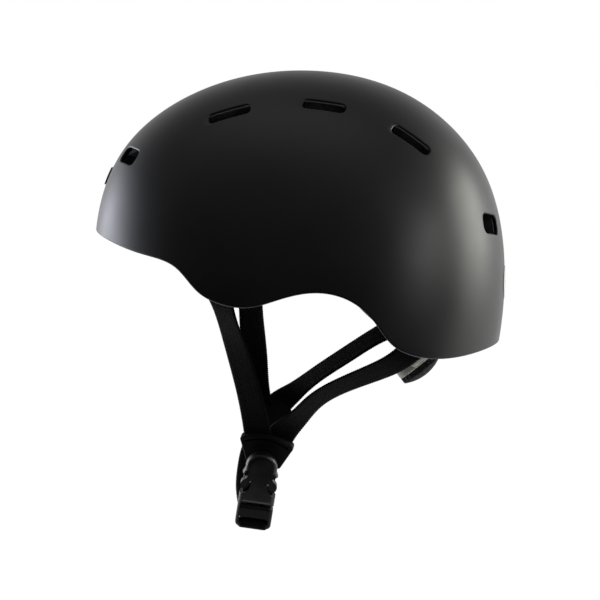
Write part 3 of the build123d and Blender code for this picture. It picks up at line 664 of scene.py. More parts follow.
class Vent:
    """One vent: its frame, its size and its rings on the shell."""

    def __init__(self, row, side):
        centre, outwards, along, (length, width, self.corner, self.ramp) = row
        flip = np.array((1, side, 1))
        self.centre = place(*centre) * flip
        self.along = unit(np.array(along) * flip)
        outwards = np.array(outwards) * flip
        self.outwards = unit(outwards - self.along * (outwards @ self.along))
        self.aside = np.cross(self.outwards, self.along)
        self.half_length, self.half_width = length / 2, width / 2

    def distance(self, points, ramp):
        """How far points lie outside the vent's outline, drawn out in front by a ramp; far away ones
        give a large number."""
        reach = points - self.centre + self.along * ramp / 2
        far = np.abs(reach @ self.outwards) > SHELL_WIDTH / 4
        flat = rectangle_distance(reach @ self.along, reach @ self.aside, self.half_length + ramp / 2,
                                  self.half_width, self.corner)
        return np.where(far, SHELL_WIDTH, flat)

    def ring(self, dome, growth, ramp):
        """The outline on the dome's face, grown by a margin and drawn out in front by a ramp."""
        flat = rounded_outline(self.half_length + ramp / 2 + growth, self.half_width + growth,
                               self.corner + growth, VENT_POINTS)
        spots = self.centre + (flat[:, :1] - ramp / 2) * self.along + flat[:, 1:] * self.aside
        return dome.cast(spots - self.outwards * FOAM_INNER, self.outwards)


def shell_points(sizes, dome):
    """The grid of points over the outer face and the normals there."""
    turns = np.linspace(0, 2 * math.pi, RIM_TABLE, endpoint=False)
    rims = rim_angles(dome, turns, sizes.shell_wall / 2)
    steps = np.linspace(-1, 1, SHELL_GRID + 1)
    reach, turn = disc_of_square(*np.meshgrid(steps, steps, indexing="ij"))
    rim = np.interp(turn.ravel(), turns, rims, period=2 * math.pi)
    height = math.pi / 2 - reach.ravel() * (math.pi / 2 - rim)
    points = dome.cast(HEART, elevation_ray(turn.ravel(), height))
    return points, dome.normals(points)


def hole_edges(verts, near):
    """The edges with one face among vertices marked as near a vent, in an order that doesn't vary."""
    edges = dict.fromkeys(edge for vert, close in zip(verts, near) if close for edge in vert.link_edges)
    return [edge for edge in edges if len(edge.link_faces) == 1]


def build_shell(sizes):
    """A closed wall: outer face, rounded bottom edge, inner face and ten rounded vents."""
    dome = Dome()
    points, normals = shell_points(sizes, dome)
    wall, lip = sizes.shell_wall, sizes.vent_lip
    vents = [Vent(row, side) for row in VENT_SHARES for side, _ in SIDES]
    distances = [vent.distance(points, vent.ramp) for vent in vents]
    gone = np.min(distances, axis=0) < lip + sizes.vent_margin
    bm = bmesh.new()
    outer = add_ring(bm, points)
    inner = add_ring(bm, points - normals * wall)
    grid = np.arange(len(points)).reshape(SHELL_GRID + 1, SHELL_GRID + 1)
    for i, j in np.ndindex(SHELL_GRID, SHELL_GRID):
        corners = grid[(i, i + 1, i + 1, i), (j, j, j + 1, j + 1)]
        if not gone[corners].any():
            bm.faces.new([outer[c] for c in corners])
            bm.faces.new([inner[c] for c in corners[::-1]])
    loop = np.concatenate([grid[:-1, 0], grid[-1, :-1], grid[:0:-1, -1], grid[0, :0:-1]])
    round_rim(bm, outer, inner, points[loop], normals[loop], loop, wall)
    bm.verts.ensure_lookup_table()
    for vent, distance in zip(vents, distances):
        near = distance < lip + sizes.vent_margin + HOLE_REACH
        cut_vent(bm, dome, vent, outer, inner, near, wall, lip)
    bmesh.ops.delete(bm, geom=[v for v in bm.verts if not v.link_faces], context="VERTS")
    return true_normals(new_object("shell_moulding", bm), dome)


def true_normals(shell, dome):
    """Shades the outer face by the form's own normals, so that its patches don't show in the gloss."""
    mesh = shell.data
    points = np.array([vert.co for vert in mesh.vertices])
    normals = np.array([vert.normal for vert in mesh.vertices])
    outside = np.abs(dome.level(points) - 1) < ON_FORM
    normals[outside] = dome.normals(points[outside])
    mesh.normals_split_custom_set_from_vertices(normals)
    return shell


def round_rim(bm, outer, inner, points, normals, loop, wall):
    """A half-round edge between the outer and the inner face along the bottom."""
    tangents = unit(np.roll(points, -1, axis=0) - np.roll(points, 1, axis=0))
    downs = np.cross(tangents, normals)
    if downs[:, 2].mean() > 0:
        downs = -downs
    centres = points - normals * wall / 2
    last = [outer[c] for c in loop]
    for step in range(1, RIM_STEPS):
        angle = math.pi * step / RIM_STEPS
        ring = add_ring(bm, centres + (normals * math.cos(angle) + downs * math.sin(angle)) * wall / 2)
        bridge(bm, last, ring)
        last = ring
    bridge(bm, last, [inner[c] for c in loop])


def cut_vent(bm, dome, vent, outer, inner, near, wall, lip):
    """Rounds a vent's mouth, lines it, and joins it to the faces around it."""
    rings = []
    for step in range(LIP_STEPS + 1):
        angle = math.pi / 2 * step / LIP_STEPS
        left = 1 - math.sin(angle)
        spots = vent.ring(dome, lip * left, vent.ramp * left)
        rings.append(add_ring(bm, spots - vent.outwards * lip * (1 - math.cos(angle))))
    spots = vent.ring(dome, 0, 0)
    tilt = dome.normals(spots) @ vent.outwards
    rings.append(add_ring(bm, spots - vent.outwards * (wall / tilt)[:, None]))
    bridge_row(bm, rings)
    for verts, ring, growth, ramp in ((outer, rings[0], lip, vent.ramp), (inner, rings[-1], 0.0, 0.0)):
        fill_patch(bm, vent, hole_edges(verts, near), ring, growth, ramp)


def fill_patch(bm, vent, border, ring, growth, ramp):
    """Triangles between the edge of the hole in the grid and a vent's outline, laid out flat first."""
    verts = list(dict.fromkeys(vert for edge in border for vert in edge.verts))
    edges = [(verts.index(edge.verts[0]), verts.index(edge.verts[1])) for edge in border]
    first = len(verts)
    edges += [(first + i, first + (i + 1) % len(ring)) for i in range(len(ring))]
    verts += ring
    reach = np.array([vert.co for vert in verts]) - vent.centre
    flat = [Vector((point @ vent.along, point @ vent.aside)) for point in reach]
    _, _, faces, origins, _, _ = delaunay_2d_cdt(flat, edges, [], INSIDE_FACES, SAME_POINT)
    for face in faces:
        corners = [verts[origins[number][0]] for number in face]
        middle = sum((vert.co for vert in corners), Vector()) / len(corners)
        if vent.distance(np.array(middle), ramp) > growth:
            bm.faces.new(corners)


# Pads

PAD_POINTS = 96
PAD_BULGE = 2.6
LEAST_CORNER = 1 * MM
CHANNEL_REACH = 1.6 * MM
CHANNEL_FADE = 4 * MM
BROW_ROUNDS = 8

# A pad's rings: insets over its welded edge, then shares of the flange, of the shoulder and of the
# middle. The middle starts at a share of the half width, and the edge is rounded by a share of its height.
EDGE_INSETS = (0.0, 0.4 * MM, 1.0 * MM)
FLANGE_SHARES = (0.8, 1.0)
SHOULDER_SHARES = (0.06, 0.15, 0.3, 0.5, 0.75, 1.0)
MIDDLE_SHARES = (0.88, 0.74, 0.6, 0.46, 0.32, 0.18, 0.06)
MIDDLE_START_SHARE = 0.62
EDGE_ROUND_SHARE = 0.15


def pad_height(sizes, distance, flat, shape, thickness):
    """How thick a pad is at a distance in from its welded edge."""
    rise = np.clip((distance - sizes.pad_flange) / sizes.pad_shoulder, 0, 1)
    crown = np.sqrt(np.clip(1 - (1 - rise) ** PAD_BULGE, 0, 1))
    height = np.full(len(flat), sizes.pad_edge + (thickness - sizes.pad_edge) * crown)
    channels, half_run = shape[3:]
    for spot in channels:
        gap = np.abs(flat[:, 0] - spot)
        run = np.clip((half_run - np.abs(flat[:, 1])) / CHANNEL_FADE, 0, 1)
        height -= sizes.pad_channel_depth * np.exp(-(gap / CHANNEL_REACH) ** 2) * run * rise
    return height


def build_pad(node, sizes, shape, surface, thickness):
    """A foam pad with a welded edge and sewn channels, laid on the foam by its surface function."""
    half_length, half_width, corner = shape[0] / 2, shape[1] / 2, shape[2]
    middle = half_width * MIDDLE_START_SHARE
    insets = list(EDGE_INSETS) + [sizes.pad_flange * share for share in FLANGE_SHARES]
    insets += [sizes.pad_flange + sizes.pad_shoulder * share for share in SHOULDER_SHARES]
    insets = [inset for inset in insets if inset < middle] + [middle]
    flats = [rounded_outline(half_length - inset, half_width - inset, max(corner - inset, LEAST_CORNER),
                             PAD_POINTS) for inset in insets]
    flats += [flats[-1] * share for share in MIDDLE_SHARES]
    distances = insets + [middle + (half_width - middle) * (1 - share) for share in MIDDLE_SHARES]
    bm = bmesh.new()
    front, back = [], []
    for flat, distance in zip(flats, distances):
        spots, normals = surface(flat)
        height = pad_height(sizes, distance, flat, shape, thickness)
        foot = 0.0 if distance else sizes.pad_edge * EDGE_ROUND_SHARE
        front.append(add_ring(bm, spots - normals * (height - foot)[:, None]))
        back.append(add_ring(bm, spots - normals * foot))
    bridge(bm, front[0], back[0])
    for rings in (front, back):
        bridge_row(bm, rings)
        bm.faces.new(rings[-1])
    return new_object(node.replace("pad", "cushion"), bm)


def ray_surface(dome, origin, u_way, v_way, way):
    """Places flat points on a dome by rays from a plane inside it."""
    def surface(flat):
        spots = dome.cast(origin + flat[:, :1] * u_way + flat[:, 1:] * v_way, way)
        return spots, dome.normals(spots)
    return surface


def brow_surface(dome):
    """Places flat points round the brow: the first number is along the band, the second up it."""
    def surface(flat):
        turn = flat[:, 0] / BROW_RADIUS
        ways = np.stack([np.cos(turn), np.sin(turn), np.zeros_like(turn)], axis=1)
        along = np.full(len(flat), SHELL_LENGTH / 3)
        for _ in range(BROW_ROUNDS):
            up = rim_height(along) + BROW_RISE + flat[:, 1]
            origins = np.stack([np.zeros_like(up), np.zeros_like(up), up], axis=1)
            spots = dome.cast(origins, ways)
            along = spots[:, 0]
        return spots, dome.normals(spots)
    return surface


# Webbing

WEAVE_MAP = "weave"
STRIP_POINTS = 13
RING_STEP = 0.4 * MM

# How far a strap's points crowd to its edges, and how square those are.
CROWDING_SHARE = 0.35
EDGE_SQUARENESS = 14

# The fold's middle line lies this share of the webbing's thickness off the bar.
FOLD_GAP_SHARE = 0.52


def strip_section():
    """Half a webbing section, edge to edge: place across and half thickness, as shares."""
    steps = np.linspace(-1, 1, STRIP_POINTS)
    across = CROWDING_SHARE * np.sin(steps * math.pi / 2) + (1 - CROWDING_SHARE) * steps
    return across, np.sqrt(np.clip(1 - np.abs(across) ** EDGE_SQUARENESS, 0, 1))


def build_webbing(name, sizes):
    """A woven strap along its route."""
    across_way, twists, shares = STRAP_SHARES[name]
    side = math.copysign(1, shares[0][1])
    rows = [np.concatenate([place(*spot), across_way + np.array((0, side * twist, 0))])
            for spot, twist in zip(shares, twists)]
    return weave_strip(name.replace("strap", "webbing"), sizes, rows)


def weave_strip(name, sizes, rows):
    """A strip of webbing through rows of a place and a way across it.

    Its picks show as a fine serration along its edges."""
    curve = Curve(rows)
    count = int(curve.at[-1] / RING_STEP)
    carried, headings = curve.spread(count)
    spots, ways = carried[:, :3], carried[:, 3:]
    levels = unit(ways - headings * np.sum(headings * ways, axis=1, keepdims=True))
    normals = np.cross(headings, levels)
    at = distances_along(spots)
    across, height = strip_section()
    wave = np.sin(2 * math.pi * at / sizes.pick_spacing)
    half_width = sizes.webbing_width / 2 - sizes.pick_depth * (0.5 - 0.5 * wave)
    half_thick = sizes.webbing_thickness / 2
    bm = bmesh.new()
    uv = bm.loops.layers.uv.new(WEAVE_MAP)
    places = {}
    rings = []
    for i in range(count):
        ring = []
        for sign, order in ((1, range(STRIP_POINTS)), (-1, range(STRIP_POINTS - 2, 0, -1))):
            for k in order:
                point = (spots[i] + levels[i] * across[k] * half_width[i]
                         + normals[i] * sign * half_thick * height[k])
                vert = bm.verts.new(point)
                places[vert] = (across[k] * sizes.webbing_width / 2, at[i])
                ring.append(vert)
        rings.append(ring)
    close_row(bm, rings)
    for face in bm.faces:
        for corner in face.loops:
            corner[uv].uv = places[corner.vert]
    return new_object(name, bm)


def buckle_ways():
    """The buckle's middle at its top, and its ways across, down and out of its face."""
    down = unit(BUCKLE_DOWN)
    outwards = unit(np.array((0, 1, 0)) - down * down[1])
    across = np.cross(down, outwards)
    roll = math.radians(BUCKLE_ROLL)
    rolled = across * math.cos(roll) + outwards * math.sin(roll)
    return place(*BUCKLE_SHARES), rolled, down, np.cross(rolled, down)


def build_fold(sizes):
    """The end of the chin webbing, up through the ladder slot, over its bar and back under the strap."""
    top, across, down, outwards = buckle_ways()
    gap = sizes.webbing_thickness * FOLD_GAP_SHARE
    face = BUCKLE_THICKNESS / 2
    upper, lower = BAR_SPAN
    # Places down the buckle and out of its face.
    path = ((upper - gap, 0.0), (upper - gap, face - 2 * gap), (upper + gap, face + gap * 0.7),
            ((upper + lower) / 2, face + gap), (lower - gap, face * 0.85), (lower + gap, face * 0.3),
            (lower + gap, -face * 0.4), (lower - gap, -face * 0.95), (lower - 0.4 * gap, -face - 4 * gap),
            (lower, -face - 9 * gap))
    rows = [np.concatenate([top + down * along + outwards * out, across]) for along, out in path]
    return weave_strip("chin_webbing_fold", sizes, rows)


# Bands of the fit system

BAND_STEP = 1.2 * MM
BAND_EDGE = 0.35 * MM
WEB_RECESS = 0.25 * MM
EYE_POINTS = 48

# Where a band meets its eye, in radii of the eye: where it starts to bend in, by how much it leans
# and where it ends.
APPROACH_SHARE = 2.2
LEAN_SHARE = 0.1
BAND_END_SHARE = 0.8


def dial_ways():
    """The dial's middle, and its ways to the wearer's left, down its face and out of it."""
    angle = math.radians(DIAL_ANGLE)
    out = np.array((-math.cos(angle), 0, -math.sin(angle)))
    left = np.array((0.0, 1.0, 0.0))
    return place(DIAL_SHARES[0], 0, DIAL_SHARES[1]), left, np.cross(out, left), out


def build_band(side, word, sizes):
    """A flexible band from a rack's end to its eye on the temple stud, ribbed along both edges."""
    middle, left, down, out = dial_ways()
    reach, line, depth = RACK_END
    first = middle + left * side * reach - down * side * line + out * depth
    eye = place(STUD_SHARES[0], 0, STUD_SHARES[1]) + left * side * STUD_OUT
    way = np.array(BAND_WAY)
    radius = sizes.eye_diameter / 2
    approach = eye + (way - left * side * LEAN_SHARE) * radius * APPROACH_SHARE
    spots = [first, first + left * side * sizes.band_width / 2]
    spots += [place(along, side * aside, drop) for along, aside, drop in BAND_SHARES[side]]
    spots += [approach, eye + way * radius * BAND_END_SHARE]
    ways = [-down, -down] + [np.cross(way, left)] * (len(spots) - 2)
    curve = Curve([np.concatenate(row) for row in zip(spots, ways)])
    carried, headings = curve.spread(int(curve.at[-1] / BAND_STEP))
    bm = bmesh.new()
    rings = []
    for row, heading in zip(carried, headings):
        spot, across = row[:3], unit(row[3:] - heading * (heading @ row[3:]))
        normal = np.cross(heading, across)
        grown = min(np.linalg.norm(spot - first) / (sizes.band_width / 2), 1)
        width = RACK_SECTION[0] + (sizes.band_width - RACK_SECTION[0]) * grown
        thick = RACK_SECTION[1] + (sizes.band_thickness - RACK_SECTION[1]) * grown
        rings.append(add_ring(bm, [spot + across * u + normal * v
                                   for u, v in band_section(width, thick, sizes.band_rib)]))
    close_row(bm, rings)
    add_eye(bm, eye, left, sizes)
    return new_object(f"fit_strap_{word}", bm), first, approach


def band_section(width, thick, rib):
    """Round a band's section: two ribs at its edges and a thinner web between them."""
    half, top = width / 2, thick / 2
    inner, web, edge = half - rib, top - WEB_RECESS, BAND_EDGE
    upper = [(-half, top - edge), (-half + edge, top), (-inner - edge, top), (-inner, web),
             (inner, web), (inner + edge, top), (half - edge, top), (half, top - edge)]
    return upper + [(-u, -v) for u, v in upper]


def add_eye(bm, centre, axis, sizes):
    """The round eye at a band's end, pierced for the stud."""
    turns = np.linspace(0, 2 * math.pi, EYE_POINTS, endpoint=False)
    spokes = np.stack([np.cos(turns), np.zeros_like(turns), np.sin(turns)], axis=1)
    outer, inner = sizes.eye_diameter / 2, sizes.eye_hole / 2
    half, edge = sizes.band_thickness / 2, BAND_EDGE
    rings = [add_ring(bm, centre + spokes * radius + axis * level) for radius, level in (
        (inner, -half + edge), (inner + edge, -half), (outer - edge, -half), (outer, -half + edge),
        (outer, half - edge), (outer - edge, half), (inner + edge, half), (inner, half - edge))]
    bridge_row(bm, rings + rings[:1])


def nape_surface():
    """Places flat points on the back of the cradle's cover."""
    middle, left, down, out = dial_ways()

    def surface(flat):
        spots = middle + flat[:, :1] * left + flat[:, 1:] * down + out * NAPE_FACE
        return spots, np.broadcast_to(out, spots.shape)
    return surface


# Settings

def length(name, description, default):
    """A size that a user can change."""
    return FloatProperty(name=name, description=description, default=default, min=0.0, unit="LENGTH")


def colour(name, description, default):
    """A colour that a user can change, from its hex value."""
    return FloatVectorProperty(name=name, description=description, default=linear(default), size=4,
                               min=0.0, max=1.0, subtype="COLOR")


class HelmetSizes(bpy.types.PropertyGroup):
    """Sizes of the finished pieces."""

    shell_wall: length("Shell wall", "Thickness of the moulded shell", 2.4 * MM)
    vent_lip: length("Vent lip", "Radius of the rounding round each vent's mouth", 1.1 * MM)
    plate_round: length("Plate rounding", "Radius of the rounding round the badge plate", 0.9 * MM)
    vent_margin: length("Vent margin", "Width of the patch that joins a vent to the shell's grid", 0.8 * MM)
    webbing_width: length("Webbing width", "Width of the straps", 19 * MM)
    webbing_thickness: length("Webbing thickness", "Thickness of the straps", 1.4 * MM)
    pick_spacing: length("Pick spacing", "Distance between the weft threads of the webbing", 1.6 * MM)
    pick_depth: length("Pick depth", "How far the edge dips between two weft threads", 0.35 * MM)
    band_width: length("Band width", "Width of the fit system's bands", 12 * MM)
    band_thickness: length("Band thickness", "Thickness of the bands at their ribs", 1.6 * MM)
    band_rib: length("Band rib", "Width of the rib along each edge of a band", 1.8 * MM)
    eye_diameter: length("Eye diameter", "Outer diameter of a band's eye", 16 * MM)
    eye_hole: length("Eye hole", "Diameter of the hole in a band's eye", 6.6 * MM)
    pad_thickness: length("Pad thickness", "Thickness of a comfort pad at its crown", 6.7 * MM)
    nape_thickness: length("Nape pad thickness", "Thickness of the pad behind the dial", 3.9 * MM)
    pad_edge: length("Pad edge", "Thickness of a pad's welded edge", 1.4 * MM)
    pad_flange: length("Pad flange", "Width of a pad's welded edge", 2.6 * MM)
    pad_shoulder: length("Pad shoulder", "Width over which a pad swells to its crown", 11 * MM)
    pad_channel_depth: length("Channel depth", "Depth of a pad's sewn channels", 2.6 * MM)


class HelmetColours(bpy.types.PropertyGroup):
    """Colours of the finishes."""

    shell: colour("Shell", "Satin black of the shell", "#0a0a0c")
    shell_light: colour("Shell, lighter", "Where the paint lies thinner", "#0d0d10")
    foam: colour("Foam", "Bead foam", "#222223")
    foam_light: colour("Foam, lighter", "The lighter beads", "#323233")
    fabric: colour("Fabric", "Pads", "#131315")
    fabric_light: colour("Fabric, lighter", "Raised nap of the pads", "#212125")
    # The webbing's two tones are painted shade between the threads and lighter thread tops.
    webbing: colour("Webbing", "Shade between the threads", "#020203")
    webbing_light: colour("Webbing, lighter", "Threads on top", "#070709")
    buckle: colour("Buckle", "Black acetal", "#0b0b0c")
    buckle_light: colour("Buckle, lighter", "Flow marks of the acetal and the black nylon", "#101011")
    base: colour("Buckle base", "Black acetal of the buckle's male half and the dividers", "#030304")
    base_light: colour("Buckle base, lighter", "Its flow marks", "#060607")
    cradle: colour("Cradle", "Grey nylon", "#a2a399")
    cradle_light: colour("Cradle, lighter", "Flow marks of the grey nylon", "#b7b8ae")
    nylon: colour("Black nylon", "Pinion, studs and anchors", "#121213")
    dial: colour("Dial", "Elastomer of the dial", "#101011")
    dial_light: colour("Dial, lighter", "Speckle of the dial's grain", "#343435")
    film: colour("Film", "Reflective film", "#b4b6b5")
    film_light: colour("Film, lighter", "Cell walls of the film", "#d2d3d2")
    steel: colour("Steel", "Plated steel", "#8c8d8f")
    steel_light: colour("Steel, lighter", "Marks in the plating", "#b3b4b6")
    floor: colour("Floor", "Background paper", "#f2f2f1")


class HelmetView(bpy.types.PropertyGroup):
    """Camera and lamps."""

    azimuth: FloatProperty(name="Azimuth", description="Compass angle of the camera",
                           default=math.radians(187), subtype="ANGLE")
    elevation: FloatProperty(name="Elevation", description="Camera's angle above level",
                             default=math.radians(4), subtype="ANGLE")
    distance: length("Distance", "From the camera to the middle of the view", 1600 * MM)
    frame_width: length("Frame width", "Width of the view at the helmet", 408 * MM)
    lamp_power: FloatProperty(name="Lamp power", description="Power that each lamp has its share of",
                              default=10.0, unit="POWER")
    world_level: FloatProperty(name="World level", description="Even light from all round", default=0.15,
                               min=0.0)


class BuildStep:
    """What every operator here shares."""

    bl_options = {"REGISTER"}

    @property
    def sizes(self):
        return bpy.context.scene.helmet_sizes


class HELMET_OT_shell(BuildStep, bpy.types.Operator):
    """Build the shell with its rounded rim and vents, the badge plate and the reflective disc"""

    bl_idname = "helmet.shell"
    bl_label = "Shell"

    def execute(self, context):
        paint = satin_abs()
        shell = dress(build_shell(self.sizes), paint)
        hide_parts("outer_shell")
        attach(shell, "shell")
        dress_nodes(paint, "front_badge_plate")
        dress_nodes(reflective_film(), "rear_reflective_disc")
        soften("front_badge_plate", self.sizes.plate_round)
        return {"FINISHED"}


class HELMET_OT_liner(BuildStep, bpy.types.Operator):
    """Finish the foam liner and the pads' hook-and-loop dots"""

    bl_idname = "helmet.liner"
    bl_label = "Liner"

    def execute(self, context):
        dress_nodes(bead_foam(), "eps_liner")
        dress_nodes(hook_tape(), "pad_hook_dots")
        return {"FINISHED"}


class HELMET_OT_pads(BuildStep, bpy.types.Operator):
    """Build the comfort pads"""

    bl_idname = "helmet.pads"
    bl_label = "Pads"

    def execute(self, context):
        sizes = self.sizes
        fabric = knit_fabric()
        dome = Dome(PAD_OUTER)
        ahead, left, up = np.eye(3)
        laid = {"crown_pad": (CROWN_PAD, ray_surface(dome, CROWN_PAD_ORIGIN, ahead, left, up))}
        for side, word in SIDES:
            temple = ray_surface(dome, place(*SIDE_PAD_SHARES), ahead, up, left * side)
            laid[f"side_pad_{word}"] = (SIDE_PAD, temple)
        laid["rear_pad"] = (REAR_PAD, ray_surface(dome, place(*REAR_PAD_SHARES), left, up, -ahead))
        laid["brow_pad"] = (BROW_PAD, brow_surface(dome))
        for node, (shape, surface) in laid.items():
            piece = dress(build_pad(node, sizes, shape, surface, sizes.pad_thickness), fabric)
            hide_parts(node)
            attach(piece, "shell")
        cushion = build_pad("nape_pad", sizes, NAPE_PAD, nape_surface(), sizes.nape_thickness)
        dress(cushion, fabric)
        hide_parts("nape_pad")
        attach(cushion, "cradle")
        return {"FINISHED"}


class HELMET_OT_webbing(BuildStep, bpy.types.Operator):
    """Weave the straps"""

    bl_idname = "helmet.webbing"
    bl_label = "Webbing"

    def execute(self, context):
        cloth = woven_polyester()
        for name, (_, _, shares) in STRAP_SHARES.items():
            piece = dress(build_webbing(name, self.sizes), cloth)
            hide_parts(name)
            if name == "chin_strap":
                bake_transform(piece)
            else:
                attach(piece, "shell")
        fold = dress(build_fold(self.sizes), cloth)
        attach(fold, "buckle_male_part")
        return {"FINISHED"}


class HELMET_OT_buckle(BuildStep, bpy.types.Operator):
    """Finish the buckle and the strap dividers"""

    bl_idname = "helmet.buckle"
    bl_label = "Buckle and dividers"

    def execute(self, context):
        dress_nodes(acetal(), "buckle_female", "buckle_prong_front", "buckle_prong_rear")
        dress_nodes(matt_acetal(), "buckle_male", "strap_divider_left", "strap_divider_right")
        return {"FINISHED"}


class HELMET_OT_fit_system(BuildStep, bpy.types.Operator):
    """Build the fit system's bands, and finish its dial, cradle, racks and studs, and the strap anchors"""

    bl_idname = "helmet.fit_system"
    bl_label = "Fit system"

    def execute(self, context):
        grey = grey_nylon()
        dress_nodes(grey, "cradle_housing", "cradle_cover", "rack_left", "rack_right")
        for side, word in SIDES:
            band, first, approach = build_band(side, word, self.sizes)
            dress(band, grey)
            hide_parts(f"band_{word}")
            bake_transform(band)
        dress_nodes(soft_touch(), "fit_dial")
        dress_nodes(plated_steel(), "cradle_screws")
        dress_nodes(black_nylon(), "dial_pinion", "temple_stud_left", "temple_stud_right",
                    "front_anchor_left", "front_anchor_right", "rear_anchor_left", "rear_anchor_right")
        return {"FINISHED"}


# Stage

WHITE = (1.0, 1.0, 1.0, 1.0)

# What the gloss of the helmet sees. The white sweep behind it fades out sideways and dims overhead,
# and the dark room on its left grows a little lighter overhead. Each goes from one level to another
# between two values of a part of the direction seen, sideways or up.
SWEEP_SIDEWAYS = {"From Min": -0.60, "From Max": -0.05, "To Min": 1.0, "To Max": 0.0}
SWEEP_OVERHEAD = {"From Min": 0.1, "From Max": 0.8, "To Min": 1.0, "To Max": 0.4}
ROOM_OVERHEAD = {"From Min": -0.2, "From Max": 0.9, "To Min": 0.0, "To Max": 0.2}

# What the camera sees of the paper: the share of it that glows evenly, so that shadows stay faint,
# and how strongly.
PAPER_SHARE = 0.97
PAPER_GLOW = 1.03

# The paper lies a little below the helmet and ends in front of it, on the camera's side.
FLOOR_DROP = 60 * MM
FLOOR_REACH = 3.0
FLOOR_FRONT = 0.12

# What the camera looks at, its sensor and its nearest and farthest reach.
VIEW_MIDDLE = Vector((6.8 * MM, 0.0, -122.4 * MM))
SENSOR_WIDTH = 36.0
CAMERA_REACH = (0.05, 50.0)

# Each lamp: its place, its size, its share of the power and its colour.
LAMPS = (
    ("rear_softbox", (-1.15, -0.35, 0.22), (0.7, 0.7), 1.2, "#fffff8"),
    ("side_softbox", (-0.95, 0.60, 0.20), (0.5, 0.45), 0.27, "#ffffff"),
    ("front_softbox", (1.05, -0.34, -0.13), (0.7, 0.8), 1.05, "#f0f2ff"),
    ("top_softbox", (0.15, 0.40, 1.30), (1.4, 0.9), 0.17, "#faf8ff"),
)


def seen_white(tree, across):
    """How white the surroundings are to a ray: all white to the camera and through glass, and as
    white as given to gloss."""
    ray = add_node(tree, "LightPath")
    clear = add_node(tree, "Math", {0: ray["Is Camera Ray"], 1: ray["Is Transmission Ray"]},
                     operation="MAXIMUM")["Value"]
    gloss = add_node(tree, "Math", {0: ray["Is Glossy Ray"], 1: across}, operation="MULTIPLY")["Value"]
    return add_node(tree, "Math", {0: clear, 1: gloss}, operation="MAXIMUM")["Value"]


def studio_paper():
    """Seamless background paper, matte: white to the camera, with the helmet's shadow left faint."""
    material, tree, _ = new_material("background_paper")
    shade(material, {"Base Color": bpy.context.scene.helmet_colours.floor, "Roughness": 0.9})
    white = seen_white(tree, 1.0)
    share = add_node(tree, "Math", {0: white, 1: PAPER_SHARE}, operation="MULTIPLY")["Value"]
    glow = add_node(tree, "Emission", {"Color": WHITE, "Strength": PAPER_GLOW})["Emission"]
    matt = tree.nodes["Principled BSDF"].outputs["BSDF"]
    paper = add_node(tree, "MixShader", {0: share, 1: matt, 2: glow})["Shader"]
    set_inputs(tree, tree.nodes["Material Output"], {"Surface": paper})
    return material


def studio_world(view):
    """A white backdrop, the room that gloss sees, and a little light from all round."""
    world = bpy.data.worlds.new("studio")
    bpy.context.scene.world = world
    world.use_nodes = True
    tree = world.node_tree
    tree.nodes.clear()
    way = add_node(tree, "SeparateXYZ", {"Vector": add_node(tree, "TexCoord")["Generated"]})
    sideways = add_node(tree, "MapRange", {"Value": way["Y"], **SWEEP_SIDEWAYS})["Result"]
    overhead = add_node(tree, "MapRange", {"Value": way["Z"], **SWEEP_OVERHEAD})["Result"]
    room = add_node(tree, "MapRange", {"Value": way["Z"], **ROOM_OVERHEAD})["Result"]
    sweep = add_node(tree, "Math", {0: sideways, 1: overhead}, operation="MULTIPLY")["Value"]
    across = add_node(tree, "Math", {0: sweep, 1: room}, operation="MAXIMUM")["Value"]
    gloss = add_node(tree, "LightPath")["Is Glossy Ray"]
    dull = add_node(tree, "Math", {0: 1.0, 1: gloss}, operation="SUBTRACT")["Value"]
    even = add_node(tree, "Math", {0: dull, 1: view.world_level}, operation="MULTIPLY")["Value"]
    strength = add_node(tree, "Math", {0: seen_white(tree, across), 1: even}, operation="MAXIMUM")["Value"]
    light = add_node(tree, "Background", {"Color": WHITE, "Strength": strength})["Background"]
    add_node(tree, "OutputWorld", {"Surface": light})


def look_at(thing, target):
    """Turns a lamp or camera towards a place."""
    thing.rotation_euler = (target - thing.location).to_track_quat("-Z", "Y").to_euler()


def add_softbox(name, location, size, power, tint):
    """A rectangular studio lamp."""
    data = bpy.data.lights.new(name, "AREA")
    data.shape = "RECTANGLE"
    data.size, data.size_y = size
    data.energy = power
    data.color = linear(tint)[:3]
    lamp = bpy.data.objects.new(name, data)
    lamp.location = location
    look_at(lamp, VIEW_MIDDLE)
    bpy.context.scene.collection.objects.link(lamp)


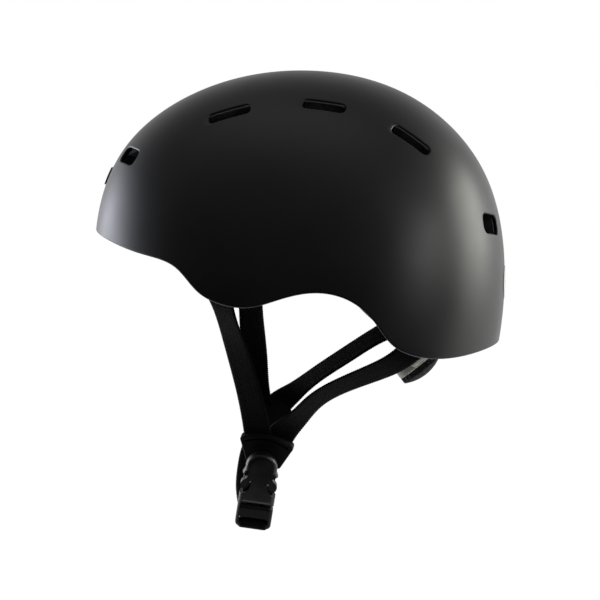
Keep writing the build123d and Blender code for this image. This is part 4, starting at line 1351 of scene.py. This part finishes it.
class HELMET_OT_stage(BuildStep, bpy.types.Operator):
    """Set up the floor, backdrop, lamps and camera"""

    bl_idname = "helmet.stage"
    bl_label = "Stage"

    def execute(self, context):
        view = context.scene.helmet_view
        height = CAD_BOX[0].z - FLOOR_DROP
        corners = ((-FLOOR_REACH, -FLOOR_REACH), (FLOOR_REACH, -FLOOR_REACH), (FLOOR_REACH, FLOOR_FRONT),
                   (-FLOOR_REACH, FLOOR_FRONT))
        bm = bmesh.new()
        bm.faces.new(add_ring(bm, [(x, y, height) for x, y in corners]))
        floor = dress(new_object("floor", bm), studio_paper())
        studio_world(view)
        for name, location, size, share, tint in LAMPS:
            add_softbox(name, location, size, view.lamp_power * share, tint)
        data = bpy.data.cameras.new("camera")
        camera = bpy.data.objects.new("camera", data)
        context.scene.collection.objects.link(camera)
        context.scene.camera = camera
        back = Vector((math.sin(view.azimuth) * math.cos(view.elevation),
                       -math.cos(view.azimuth) * math.cos(view.elevation), math.sin(view.elevation)))
        camera.location = VIEW_MIDDLE + back * view.distance
        look_at(camera, VIEW_MIDDLE)
        data.sensor_width = SENSOR_WIDTH
        data.lens = data.sensor_width * view.distance / view.frame_width
        data.clip_start, data.clip_end = CAMERA_REACH
        context.scene.view_settings.view_transform = "Standard"
        return {"FINISHED"}


class HELMET_PT_panel(bpy.types.Panel):
    """The build steps and their settings"""

    bl_label = "Skateboard Helmet"
    bl_idname = "HELMET_PT_panel"
    bl_space_type = "VIEW_3D"
    bl_region_type = "UI"
    bl_category = "Helmet"

    def draw(self, context):
        for operator in OPERATORS:
            self.layout.operator(operator.bl_idname)
        scene = context.scene
        for settings in (scene.helmet_sizes, scene.helmet_colours, scene.helmet_view):
            box = self.layout.box()
            for name in settings.__annotations__:
                box.prop(settings, name)


OPERATORS = (HELMET_OT_shell, HELMET_OT_liner, HELMET_OT_pads, HELMET_OT_webbing, HELMET_OT_buckle,
             HELMET_OT_fit_system, HELMET_OT_stage)
SETTINGS = (HelmetSizes, HelmetColours, HelmetView)


def register():
    for kind in SETTINGS + OPERATORS + (HELMET_PT_panel,):
        bpy.utils.register_class(kind)
    bpy.types.Scene.helmet_sizes = PointerProperty(type=HelmetSizes)
    bpy.types.Scene.helmet_colours = PointerProperty(type=HelmetColours)
    bpy.types.Scene.helmet_view = PointerProperty(type=HelmetView)


def unregister():
    del bpy.types.Scene.helmet_sizes
    del bpy.types.Scene.helmet_colours
    del bpy.types.Scene.helmet_view
    for kind in reversed(SETTINGS + OPERATORS + (HELMET_PT_panel,)):
        bpy.utils.unregister_class(kind)


def main():
    register()
    bpy.ops.helmet.shell()
    bpy.ops.helmet.liner()
    bpy.ops.helmet.pads()
    bpy.ops.helmet.webbing()
    bpy.ops.helmet.buckle()
    bpy.ops.helmet.fit_system()
    bpy.ops.helmet.stage()


if __name__ == "__main__":
    main()
